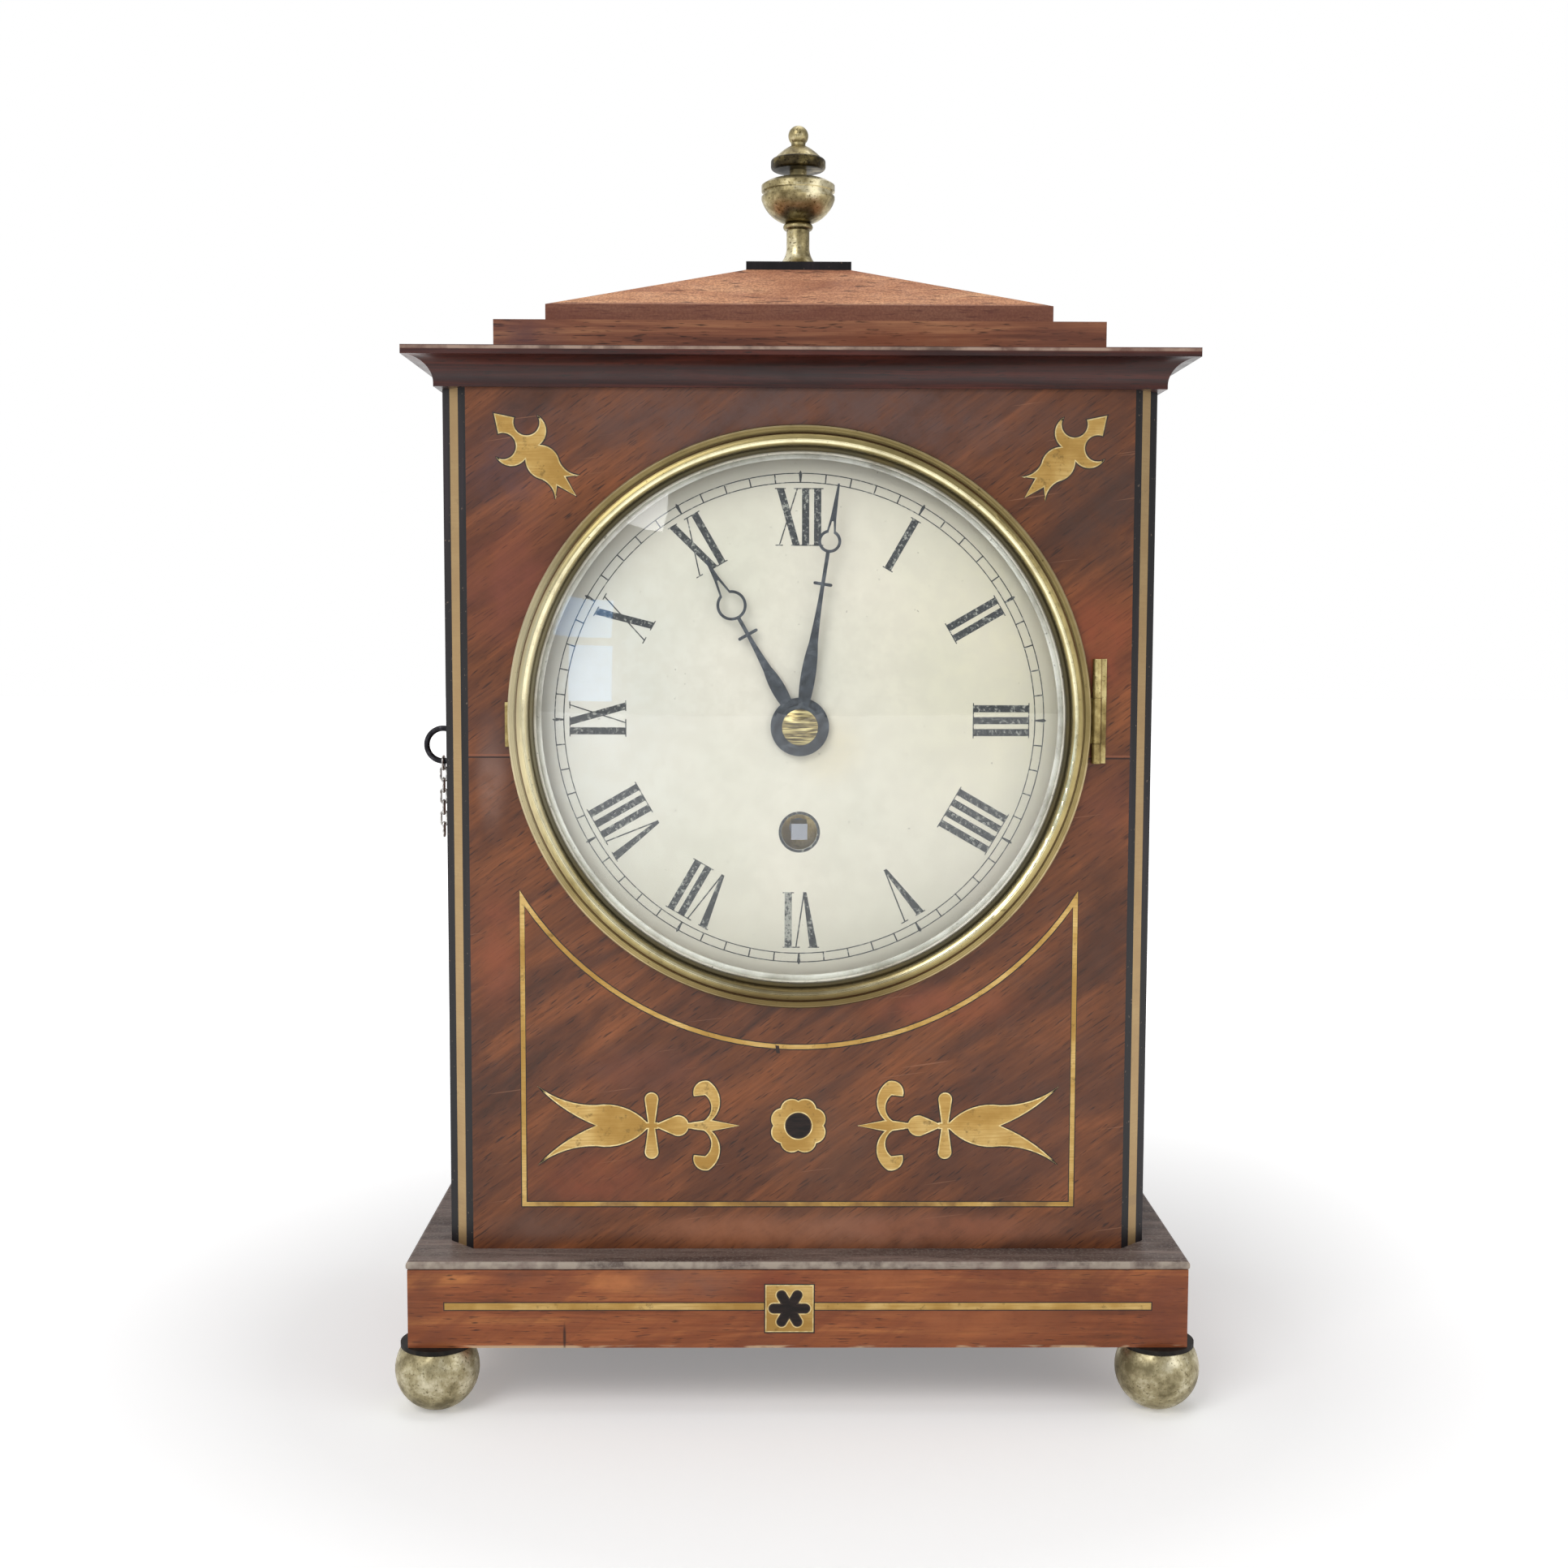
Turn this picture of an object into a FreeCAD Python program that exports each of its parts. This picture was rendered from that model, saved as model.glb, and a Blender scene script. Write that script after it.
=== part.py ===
import FreeCAD, Part
import math
import os
import re
import Sketcher

# A Regency bracket clock: a mahogany case on ball feet with brass inlay, a round convex dial behind
# a hinged bezel, and a single fusee movement with a short pendulum.
# X runs to the viewer's right, Y from front to back, Z upwards. The feet stand on Z = 0.

Vector = FreeCAD.Vector
doc = FreeCAD.newDocument("bracket_clock")

# ---------------------------------------------------------------------------------------------
# Driving dimensions, in millimetres and degrees.

SIZES = {
    # Feet
    "ball_radius": 13.7,
    "ball_centre_height": 13.3,
    "ball_height": 21,
    "foot_inset": 8.1,
    "stud_radius": 2.5,
    "stud_length": 14,
    "collar_radius": 11.8,
    "collar_thickness": 1.5,
    # Plinth
    "plinth_side_projection": 11,
    "plinth_front_projection": 13,
    "plinth_back_projection": 3,
    "plinth_rail_height": 25.7,
    "plinth_wall": 18,
    "plinth_board_thickness": 2.9,
    "plinth_board_overhang": 0.4,
    "plinth_board_round": 1.2,
    "plinth_string_height": 13.7,
    "motif_height": 13,
    "plinth_string_width": 2.4,
    "plinth_string_reach": 114.2,
    "motif_size": 15.7,
    "motif_offset": -2.9,
    "petal_reach": 6.7,
    "petal_half_width": 1.6,
    # Case
    "case_margin": 21.34,
    "case_depth": 140,
    "case_height": 279.2,
    "corner_cant": 8.5,
    "front_thickness": 8,
    "side_thickness": 10,
    "back_thickness": 8,
    "post_lap": 9.5,
    "post_depth": 18,
    "corner_string_width": 4.4,
    "inlay_depth": 0.6,
    # Cornice, step, roof
    "cornice_height": 11.9,
    "cornice_fillet": 2.8,
    "cornice_quirk": 0.9,
    "cornice_bead": 1.3,
    "cornice_bead_height": 1.2,
    "cornice_width": 12,
    "step_inset": 15.5,
    "step_height": 11.65,
    "roof_side_inset": 30.7,
    "roof_edge_height": 7.35,
    "roof_slope_height": 15.2,
    "finial_plinth_width": 36,
    "finial_plinth_height": 2.85,
    # Finial
    "urn_foot_radius": 8,
    "urn_foot_height": 8.35,
    "urn_stem_radius": 4,
    "urn_ring_height": 13.75,
    "urn_ring_size": 1.2,
    "urn_bowl_height": 24.35,
    "urn_bowl_curve": 12,
    "urn_rim_radius": 12.8,
    "urn_rim_width": 0.95,
    "urn_groove_width": 1.75,
    "urn_groove_depth": 0.8,
    "urn_lip_width": 2.1,
    "urn_dome_height": 2.35,
    "urn_neck_radius": 3,
    "urn_neck_height": 2.85,
    "disc_radius": 9.55,
    "disc_height": 4,
    "disc_round": 1.25,
    "lid_height": 4.45,
    "lid_neck_radius": 2.5,
    "lid_neck_height": 0.95,
    "top_ball_radius": 3.5,
    # Bezel and glass
    "bezel_height": 225.2,
    "rim_offset": 4.96,
    "bezel_gap": 0.3,
    "rim_width": 1.96,
    "rim_height": 2.4,
    "rim_bevel": 0.6,
    "bezel_flat_height": 1.9,
    "ridge_offset": 3.5,
    "ridge_size": 2.3,
    "ridge_height": 4.6,
    "sight_radius": 84.3,
    "lip_height": 4.9,
    "seat_height": 3.4,
    "glass_lap": 0.9,
    "glass_clearance": 0.2,
    "glass_curve": 379,
    "glass_thickness": 1.6,
    "glass_drop": 0.12,
    "ring_lap": 1.5,
    "ring_thickness": 1.1,
    "dial_clearance": 1.2,
    # Bezel hinge and strike
    "hinge_offset": 1.64,
    "hinge_axis_height": 1.7,
    "hinge_low": 211.3,
    "hinge_first_joint": 217.6,
    "hinge_second_joint": 232.5,
    "hinge_high": 244.9,
    "hinge_knuckle_radius": 1.5,
    "hinge_pin_radius": 0.7,
    "hinge_leaf_thickness": 0.7,
    "hinge_leaf_reach": 6.8,
    "hinge_case_leaf_reach": 3.2,
    "hinge_slit": 0.3,
    "running_fit": 0.05,
    "strike_plate_width": 6.7,
    "strike_plate_height": 14.3,
    "strike_plate_thickness": 0.7,
    "strike_overhang": 0.94,
    "strike_rise": 10.2,
    "tongue_offset": 3.5,
    "tongue_thickness": 2,
    "tongue_length": 15.8,
    "tongue_height": 12,
    "notch_back": 2.5,
    "notch_length": 4,
    "notch_height": 6,
    "tongue_slot": 1.5,
    # Dial and hands
    "dial_height": 224.8,
    "dial_lap": 1.5,
    "dial_set_back": 2,
    "dial_dome": 3,
    "dial_thickness": 1.2,
    "arbor_drop": 2,
    "dial_centre_hole": 4.7,
    "winding_hole_radius": 5.8,
    "winding_drop": 34.2,
    "dial_foot_radius": 2.2,
    "dial_foot_pin": 1.2,
    "dial_foot_reach_x": 58,
    "dial_foot_reach_z": 48,
    "minute_length": 78.3,
    "minute_angle": -8.9,
    "minute_height": 1,
    "minute_boss": 7,
    "hour_length": 61,
    "hour_angle": 29.5,
    "hour_height": -0.6,
    "hour_boss": 9.4,
    "hand_thickness": 0.7,
    "cap_radius": 5.75,
    "cap_height": 2.6,
    # Movement
    "plate_reach": 74,
    "plate_bottom": 126,
    "plate_top": 299,
    "plate_thickness": 3,
    "front_plate_depth": 18,
    "back_plate_gap": 5.3,
    "pillar_reach": 67,
    "pillar_low": 132,
    "pillar_high": 292,
    "pillar_radius": 4,
    "pillar_tenon_radius": 2.5,
    "arbor_radius": 1.5,
    "pivot_radius": 0.8,
    "end_shake": 0.3,
    "great_teeth": 96,
    "centre_leaves": 8,
    "great_depth": 24,
    "great_thickness": 2.5,
    "centre_teeth": 84,
    "third_leaves": 7,
    "centre_module": 0.6,
    "centre_depth": 60,
    "train_wheel_thickness": 1.7,
    "third_teeth": 77,
    "escape_leaves": 7,
    "third_module": 0.55,
    "third_depth": 32,
    "third_offset": 15,
    "escape_offset": 40.4,
    "escape_teeth": 30,
    "escape_radius": 15,
    "escape_tooth_height": 2.4,
    "escape_depth": 50,
    "pallet_offset": 61.4,
    "pallet_thickness": 3,
    "pallet_clearance": 0.25,
    "motion_distance": 18.72,
    "cannon_teeth": 24,
    "minute_teeth": 72,
    "minute_leaves": 12,
    "hour_teeth": 48,
    "minute_stud_radius": 1.6,
    "motion_depth": 15,
    "hour_wheel_depth": 12,
    "motion_thickness": 1.5,
    "cannon_radius": 2.6,
    "hour_pipe_radius": 4.2,
    "hour_pipe_wall": 1.2,
    "fusee_large_radius": 19,
    "fusee_small_radius": 9,
    "fusee_length": 26,
    "fusee_grooves": 8,
    "fusee_groove_depth": 1.2,
    "winding_arbor_radius": 3,
    "winding_square": 5.2,
    "barrel_radius": 24,
    "barrel_length": 30,
    "barrel_wall": 1.8,
    "barrel_offset_x": -47.1,
    "barrel_drop": 67.2,
    "barrel_arbor_radius": 3,
    "spring_strip": 0.8,
    "spring_pitch": 1.9,
    "chain_width": 1.8,
    "chain_thickness": 0.9,
    "chain_gap": 0.3,
    # Pendulum
    "pendulum_gap": 12,
    "pendulum_length": 202,
    "pendulum_rod_radius": 1.4,
    "bob_radius": 20,
    "bob_thickness": 9,
    "nut_radius": 5,
    "nut_height": 4,
    "nut_gap": 0.5,
    "rod_tail": 28,
    "spring_width": 5,
    "spring_thickness": 0.3,
    "spring_length": 12,
    "cock_slit": 1.2,
    "crutch_drop": 34,
    # Seat board
    "seat_thickness": 8,
    "seat_gap": 8,
    "cleat_size": 10,
    # Rear door
    "door_opening_reach": 80,
    "door_opening_low": 75,
    "door_opening_high": 305,
    "door_gap": 0.5,
    "stile_width": 16,
    "pane_thickness": 2,
    "pane_lap": 4,
    "pane_clearance": 0.5,
    "door_hinge_height": 24,
    "door_hinge_inset": 32,
    "door_knuckle_radius": 1.6,
    "door_pin_radius": 0.7,
    "door_leaf_thickness": 1,
    "door_leaf_width": 14.5,
    "catch_inset": 8,
    "catch_height": 190,
    "catch_spindle_radius": 1.5,
    "catch_knob_radius": 4,
    "catch_knob_length": 5,
    "catch_tongue_length": 12.5,
    "catch_tongue_width": 6,
    "catch_tongue_thickness": 2.2,
    # Lock and key
    "keyhole_height": 213.2,
    "keyhole_back": 58,
    "lock_length": 30,
    "lock_height": 30,
    "lock_thickness": 11.5,
    "lock_wall": 2,
    "lock_lid": 1.7,
    "bolt_thickness": 2.5,
    "bolt_travel": 5,
    "bolt_drop": 6.2,
    "bolt_rise": 5.8,
    "bolt_head": 10,
    "bolt_arm_width": 2.5,
    "bolt_arm_height": 5,
    "bolt_gap": 0.5,
    "bolt_pin_gap": 0.8,
    "bolt_pin_radius": 1.5,
    "talon_radius": 1,
    "talon_reach": 4,
    "talon_drop": 3,
    "key_radius": 2,
    "key_hole_radius": 2.6,
    "key_bit_length": 7.5,
    "key_bit_width": 3,
    "key_bit_thickness": 1.8,
    "bow_radius": 5.75,
    "bow_wire": 1,
    "bow_reach": 124.1,
    "ring_radius": 2.4,
    "ring_wire": 0.42,
    "link_length": 5.8,
    "link_width": 3,
    "link_wire": 0.45,
    "link_count": 6,
    # Front inlay
    "string_width": 1.6,
    "string_reach": 89.7,
    "string_bottom": 66,
    "string_arc_radius": 106.9,
    "corner_ornament_length": 36.9,
    "corner_ornament_reach": 86.15,
    "corner_ornament_height": 310.85,
    "tulip_length": 66.1,
    "tulip_inner_reach": 19.2,
    "tulip_height": 92.2,
    "rosette_radius": 9.4,
    "rosette_valley": 8.3,
    "rosette_centre_radius": 4.3,
}

# Places that follow from the sizes: heights of the stages and the planes that pieces share.
PLACES = {
    "glass_radius": "sight_radius + glass_lap",
    "ridge_distance": "glass_radius + ridge_offset",
    "bezel_radius": "ridge_distance + rim_offset",
    "ring_inner_radius": "sight_radius - ring_lap",
    "dial_radius": "sight_radius + dial_lap",
    "dial_opening_radius": "dial_radius + dial_clearance",
    "hinge_axis_reach": "bezel_radius + hinge_offset",
    "strike_reach": "bezel_radius + strike_overhang",
    "strike_height": "keyhole_height + strike_rise",
    "tongue_reach": "dial_opening_radius + tongue_offset",
    "case_width": "2 * (bezel_radius + case_margin)",
    "plinth_bottom": "ball_height + collar_thickness",
    "plinth_rail_top": "plinth_bottom + plinth_rail_height",
    "case_bottom": "plinth_rail_top + plinth_board_thickness",
    "case_top": "case_bottom + case_height",
    "cornice_top": "case_top + cornice_height",
    "step_top": "cornice_top + step_height",
    "roof_edge_top": "step_top + roof_edge_height",
    "roof_top": "roof_edge_top + roof_slope_height",
    "finial_bottom": "roof_top + finial_plinth_height",
    "half_width": "case_width / 2",
    "front": "plinth_front_projection - (case_depth + plinth_front_projection + plinth_back_projection) / 2",
    "back": "front + case_depth",
    "middle": "front + case_depth / 2",
    "plinth_reach": "half_width + plinth_side_projection",
    "plinth_front": "front - plinth_front_projection",
    "plinth_back": "back + plinth_back_projection",
    "panel_reach": "half_width - corner_cant",
    "inner_reach": "half_width - side_thickness",
    "panel_back": "front + front_thickness",
    "side_front": "front + corner_cant",
    "frame_front": "back - back_thickness",
    "cove": "cornice_height - cornice_fillet - cornice_bead_height",
    "cove_edge": "cornice_bead + cove",
    "cove_top": "cornice_bead_height + cove",
    "cornice_projection": "cove_edge + cornice_quirk",
    "top_inner_reach": "half_width - cornice_width",
    "top_inner_front": "front + cornice_width",
    "roof_reach": "half_width - roof_side_inset",
    "roof_front": "front + roof_side_inset",
    "roof_back": "back - roof_side_inset",
    "urn_groove_low": "urn_bowl_height + urn_rim_width",
    "urn_groove_high": "urn_groove_low + urn_groove_width",
    "urn_lip_top": "urn_groove_high + urn_lip_width",
    "urn_neck_low": "urn_lip_top + urn_dome_height",
    "urn_height": "urn_neck_low + urn_neck_height",
    "disc_bottom": "finial_bottom + urn_height",
    "lid_bottom": "disc_bottom + disc_height",
    "arbor_height": "dial_height - arbor_drop",
    "winding_height": "arbor_height - winding_drop",
    "great_module": "2 * winding_drop / (great_teeth + centre_leaves)",
    "third_distance": "(centre_teeth + third_leaves) * centre_module / 2",
    "third_rise": "sqrt(third_distance ^ 2 - third_offset ^ 2)",
    "cannon_module": "2 * motion_distance / (cannon_teeth + minute_teeth)",
    "hour_module": "2 * motion_distance / (hour_teeth + minute_leaves)",
    "pallet_height": "arbor_height + pallet_offset",
    "front_plate_back": "front_plate_depth + plate_thickness",
    "back_plate_depth": "centre_depth + train_wheel_thickness + back_plate_gap",
    "back_plate_back": "back_plate_depth + plate_thickness",
    "pendulum_depth": "back_plate_back + pendulum_gap",
    "bob_height": "pallet_height - pendulum_length",
    "hinge_y": "front - hinge_axis_height",
    "door_axis_y": "back + door_knuckle_radius + hinge_slit",
    "door_axis_x": "-door_opening_reach + door_gap / 2",
    "door_left": "-door_opening_reach + door_gap",
    "door_right": "door_opening_reach - door_gap",
    "door_low": "door_opening_low + door_gap",
    "door_high": "door_opening_high - door_gap",
    "key_y": "front + keyhole_back",
    "lock_front": "key_y - 2 * lock_length / 3",
    "lock_low": "keyhole_height - 0.47 * lock_height",
    "lock_inner": "-inner_reach + lock_thickness",
    "bolt_outer": "lock_inner - lock_lid - hinge_slit - bolt_thickness",
    "bolt_inner": "lock_inner - lock_lid - hinge_slit",
    "tongue_back": "front - bezel_gap + tongue_length",
    "bolt_pin_y": "tongue_back - notch_back - notch_length / 2",
    "tongue_low": "strike_height - tongue_height / 2",
}

sizes = doc.addObject("Spreadsheet::Sheet", "Sizes")
for row, (name, number) in enumerate(SIZES.items(), 1):
    sizes.set(f"A{row}", name)
    sizes.set(f"B{row}", str(number))
    sizes.setAlias(f"B{row}", name)

NAMES = re.compile(r"[a-z_][a-z_0-9]*")


def bound(formula):
    """Formula with each name led to the sheet that holds it."""
    def full_name(match):
        name = match.group(0)
        if name in SIZES:
            return "Sizes." + name
        if name in PLACES:
            return "Places." + name
        return name
    return NAMES.sub(full_name, str(formula))


places = doc.addObject("Spreadsheet::Sheet", "Places")
for row, (name, formula) in enumerate(PLACES.items(), 1):
    places.set(f"A{row}", name)
    places.set(f"B{row}", "=" + bound(formula))
    places.setAlias(f"B{row}", name)
doc.recompute()


def value(formula):
    """Number that a formula gives with the sheets as they are."""
    return float(sizes.evalExpression(bound(formula)))


# ---------------------------------------------------------------------------------------------
# Blocks, rods and what joins them.

TURN = {
    "x": FreeCAD.Rotation(Vector(0, 1, 0), 90),
    "y": FreeCAD.Rotation(Vector(1, 0, 0), -90),
    "z": FreeCAD.Rotation(),
}
FACING = FreeCAD.Rotation(Vector(1, 0, 0), 90)  # drawn flat, then stood up: depth runs towards the viewer


def place(piece, x, y, z, turn=None):
    """Stand a piece at three formulas, with an optional turn."""
    if turn is not None:
        piece.Placement = FreeCAD.Placement(Vector(value(x), value(y), value(z)), turn)
    for axis, formula in zip("xyz", (x, y, z)):
        piece.setExpression(f"Placement.Base.{axis}", bound(formula))
    return piece


def box(name, x, y, z):
    """Block from the low to the high formula on each axis."""
    block = doc.addObject("Part::Box", name)
    for side, (low, high) in zip(("Length", "Width", "Height"), (x, y, z)):
        block.setExpression(side, bound(f"({high}) - ({low})"))
    return place(block, x[0], y[0], z[0])


def rod(name, axis, radius, span, at):
    """Round bar along an axis: span is along it, at is its place on the two other axes."""
    bar = doc.addObject("Part::Cylinder", name)
    bar.setExpression("Radius", bound(radius))
    bar.setExpression("Height", bound(f"({span[1]}) - ({span[0]})"))
    spot = list(at)
    spot.insert("xyz".index(axis), span[0])
    return place(bar, *spot, TURN[axis])


def cut(name, base, *tools):
    """Base with every tool taken away."""
    for number, tool in enumerate(tools):
        last = number == len(tools) - 1
        piece = doc.addObject("Part::Cut", name if last else f"{name}_less_{number}")
        piece.Base = base
        piece.Tool = tool
        base = piece
    return base


def fuse(name, *pieces):
    """Pieces that are one solid in the real object."""
    joined = doc.addObject("Part::MultiFuse", name)
    joined.Shapes = list(pieces)
    return joined


def common(name, *pieces):
    """What the pieces share."""
    shared = doc.addObject("Part::MultiCommon", name)
    shared.Shapes = list(pieces)
    return shared


def group(name, *pieces):
    """Separate solids of the same kind, kept together."""
    kept = doc.addObject("Part::Compound", name)
    kept.Links = list(pieces)
    return kept


def shaped(name, shape, x="0", y="0", z="0", turn=None):
    """A shape worked out below, stood in its place."""
    piece = doc.addObject("Part::Feature", name)
    piece.Shape = shape
    return place(piece, x, y, z, turn or FreeCAD.Rotation())


def draw(body, role, points, rounds):
    """Closed outline on one of a body's planes. A round stretch from a point to the next has a
    radius and a side: 1 when it turns to the left, -1 when it turns to the right."""
    sketch = body.newObject("Sketcher::SketchObject", body.Name + "_outline")
    plane = next(item for item in body.Origin.OriginFeatures if item.Role == role)
    sketch.AttachmentSupport = [(plane, "")]
    sketch.MapMode = "FlatFace"
    corners = [Vector(value(x), value(y), 0) for x, y in points]
    ends = []
    for number, start in enumerate(corners):
        end = corners[(number + 1) % len(corners)]
        if number not in rounds:
            sketch.addGeometry(Part.LineSegment(start, end))
            ends.append((1, 2))
            continue
        radius, side = rounds[number]
        radius = value(radius)
        chord = end - start
        across = Vector(-chord.y, chord.x, 0).normalize() * side
        rise = math.sqrt(max(radius * radius - chord.Length ** 2 / 4, 0))
        centre = (start + end) / 2 + across * rise
        first, last = (start, end) if side > 0 else (end, start)
        angles = [math.atan2(spot.y - centre.y, spot.x - centre.x) for spot in (first, last)]
        circle = Part.Circle(centre, Vector(0, 0, 1), radius)
        sketch.addGeometry(Part.ArcOfCircle(circle, *angles))
        ends.append((1, 2) if side > 0 else (2, 1))
    for number, (x, y) in enumerate(points):
        before = (number - 1) % len(points)
        here = ends[number][0]
        sketch.addConstraint(Sketcher.Constraint("Coincident", before, ends[before][1], number, here))
        for kind, formula in (("DistanceX", x), ("DistanceY", y)):
            held = sketch.addConstraint(Sketcher.Constraint(kind, -1, 1, number, here, value(formula)))
            sketch.setExpression(f"Constraints[{held}]", bound(formula))
    for number, (radius, side) in rounds.items():
        held = sketch.addConstraint(Sketcher.Constraint("Radius", number, value(radius)))
        sketch.setExpression(f"Constraints[{held}]", bound(radius))
    return sketch


def turned(name, points, rounds=None):
    """Piece turned in the lathe about its own upright axis: points are radius and height."""
    body = doc.addObject("PartDesign::Body", name)
    sketch = draw(body, "XZ_Plane", points, rounds or {})
    turning = body.newObject("PartDesign::Revolution", name + "_turning")
    turning.Profile = sketch
    turning.ReferenceAxis = (sketch, ["V_Axis"])
    turning.Angle = 360
    return body


def sawn(name, role, points, length, rounds=None, both_ways=False):
    """Piece sawn to an outline: it grows along the plane's normal by length."""
    body = doc.addObject("PartDesign::Body", name)
    sketch = draw(body, role, points, rounds or {})
    pad = body.newObject("PartDesign::Pad", name + "_pad")
    pad.Profile = sketch
    pad.setExpression("Length", bound(length))
    pad.Midplane = both_ways
    return body


PARTS = []


def part(label, piece):
    """A finished sub-part under the name of its file."""
    piece.Label = label
    PARTS.append(piece)
    return piece


def edges_along(start, *steps):
    """Edges from a point: a step is a point, or a pair of points that an arc passes and ends at."""
    edges = []
    spot = Vector(*start, 0)
    for step in steps:
        if isinstance(step[0], tuple):
            through = Vector(*step[0], 0)
            end = Vector(*step[1], 0)
            edges.append(Part.Arc(spot, through, end).toShape())
        else:
            end = Vector(*step, 0)
            edges.append(Part.LineSegment(spot, end).toShape())
        spot = end
    return edges


def closed(start, *steps):
    """Closed wire that ends with a straight edge back to its start."""
    return Part.Wire(edges_along(start, *steps, start))


def even(start, *steps):
    """Closed wire from half an outline, drawn from axis to axis, and its reflection in the X axis."""
    half = edges_along(start, *steps)
    other = [edge.mirror(Vector(), Vector(0, 1, 0)) for edge in half]
    return Part.Wire(Part.__sortEdges__(half + other))


def slab(wire, low, high):
    """Solid between two levels over a flat wire."""
    face = Part.Face(wire)
    face.translate(Vector(0, 0, low))
    return face.extrude(Vector(0, 0, high - low))


def disc(radius, low, high, x=0, y=0):
    """Upright round solid between two levels."""
    return Part.makeCylinder(radius, high - low, Vector(x, y, low))


def bar(x, y, z):
    """Block between pairs of numbers."""
    return Part.makeBox(x[1] - x[0], y[1] - y[0], z[1] - z[0], Vector(x[0], y[0], z[0]))


def joined(pieces):
    """Pieces made one, without the seams between them."""
    first, *rest = pieces
    return first.multiFuse(rest).removeSplitter()


# ---------------------------------------------------------------------------------------------
# Feet: brass balls turned with a stud that goes up into the plinth, each under a dark collar.

FOOT_PLACES = [
    (f"{side} * (plinth_reach - foot_inset)", y)
    for y in ("plinth_front + foot_inset", "plinth_back - foot_inset")
    for side in (-1, 1)
]

feet = []
collars = []
stud_holes = []
for number, (x, y) in enumerate(FOOT_PLACES):
    ball = doc.addObject("Part::Sphere", f"ball_{number}")
    ball.setExpression("Radius", bound("ball_radius"))
    ball.setExpression("Angle1", bound("-asin(ball_centre_height / ball_radius)"))
    ball.setExpression("Angle2", bound("asin((ball_height - ball_centre_height) / ball_radius)"))
    place(ball, x, y, "ball_centre_height")
    stud = rod(f"stud_{number}", "z", "stud_radius", ("ball_height", "plinth_bottom + stud_length"), (x, y))
    feet.append(fuse(f"foot_{number}", ball, stud))
    outer = rod(f"collar_blank_{number}", "z", "collar_radius", ("ball_height", "plinth_bottom"), (x, y))
    bore = rod(
        f"collar_bore_{number}", "z", "stud_radius + running_fit",
        ("ball_height", "plinth_bottom + stud_length + hinge_slit"), (x, y),
    )
    collars.append(cut(f"collar_{number}", outer, bore))
    stud_holes.append(bore)
part("ball_feet", group("feet", *feet))
part("foot_collars", group("collars", *collars))


# ---------------------------------------------------------------------------------------------
# Plinth: four rails round an open space, strung in brass, with a moulded board on top.

string_middle = "plinth_bottom + plinth_string_height"
string_edges = (f"{string_middle} - plinth_string_width / 2", f"{string_middle} + plinth_string_width / 2")
string_depths = ("plinth_front", "plinth_front + inlay_depth")
motif_left = "motif_offset - motif_size / 2"
motif_right = "motif_offset + motif_size / 2"
left_string = box("left_string", ("-plinth_string_reach", motif_left), string_depths, string_edges)
right_string = box("right_string", (motif_right, "plinth_string_reach"), string_depths, string_edges)


def flower():
    """Six petals with round ends about a round eye."""
    reach = value("petal_reach")
    half = value("petal_half_width")
    sink = value("inlay_depth")
    shoulder = reach - half * (1 - math.sqrt(0.5))
    petal = even((0, 0), (0, half), (reach - half, half), ((shoulder, half * math.sqrt(0.5)), (reach, 0)))
    petals = []
    for turn in range(6):
        leaf = slab(petal, -sink, 0)
        leaf.rotate(Vector(), Vector(0, 0, 1), 60 * turn)
        petals.append(leaf)
    return joined([disc(2 * half, -sink, 0)] + petals)


motif_place = ("motif_offset", "plinth_front", "plinth_bottom + motif_height", FACING)
motif_half = value("motif_size") / 2
motif_sink = value("inlay_depth")
motif_square = bar((-motif_half, motif_half), (-motif_half, motif_half), (-motif_sink, 0))
plinth_flower = shaped("plinth_flower", flower(), *motif_place)
plinth_square = shaped("plinth_square", motif_square.cut(flower()), *motif_place)
motif_recess = box(
    "motif_recess", (motif_left, motif_right), string_depths,
    ("plinth_bottom + motif_height - motif_size / 2", "plinth_bottom + motif_height + motif_size / 2"),
)

plinth_block = box(
    "plinth_block", ("-plinth_reach", "plinth_reach"), ("plinth_front", "plinth_back"),
    ("plinth_bottom", "plinth_rail_top"),
)
plinth_space = box(
    "plinth_space", ("-plinth_reach + plinth_wall", "plinth_reach - plinth_wall"),
    ("plinth_front + plinth_wall", "plinth_back - plinth_wall"), ("plinth_bottom", "plinth_rail_top"),
)
part("plinth_frame", cut(
    "plinth", plinth_block, plinth_space, *stud_holes, left_string, right_string, motif_recess,
))

board_reach = "plinth_reach + plinth_board_overhang"
board_front = "plinth_front - plinth_board_overhang"
board_back = "plinth_back + plinth_board_overhang"
board = sawn("plinth_board", "XY_Plane", [
    (f"-({board_reach})", board_front), (board_reach, board_front),
    (board_reach, board_back), (f"-({board_reach})", board_back),
], "plinth_board_thickness")
place(board, "0", "0", "plinth_rail_top")
doc.recompute()
board_pad = board.Tip
rounding = board.newObject("PartDesign::Fillet", "plinth_board_rounding")
rounding.Base = (board_pad, ["Face5", "Face6"])
rounding.setExpression("Radius", bound("plinth_board_round"))
part("plinth_top_board", board)


# ---------------------------------------------------------------------------------------------
# Brass let into the front: corner ornaments, stringing, two tulips and a rosette.

SINK = value("inlay_depth")
RIGHT_HAND = (Vector(), Vector(1, 0, 0))


def scaled(step, unit):
    """Step of an outline whose numbers are hundredths of the ornament's length."""
    if isinstance(step[0], tuple):
        return tuple(scaled(spot, unit) for spot in step)
    return (step[0] * unit, step[1] * unit)


def inlaid(outline, unit, wire=even):
    """Brass as thick as the recess, its face flush with the panel."""
    return slab(wire(*[scaled(step, unit) for step in outline]), -SINK, 0)


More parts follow.
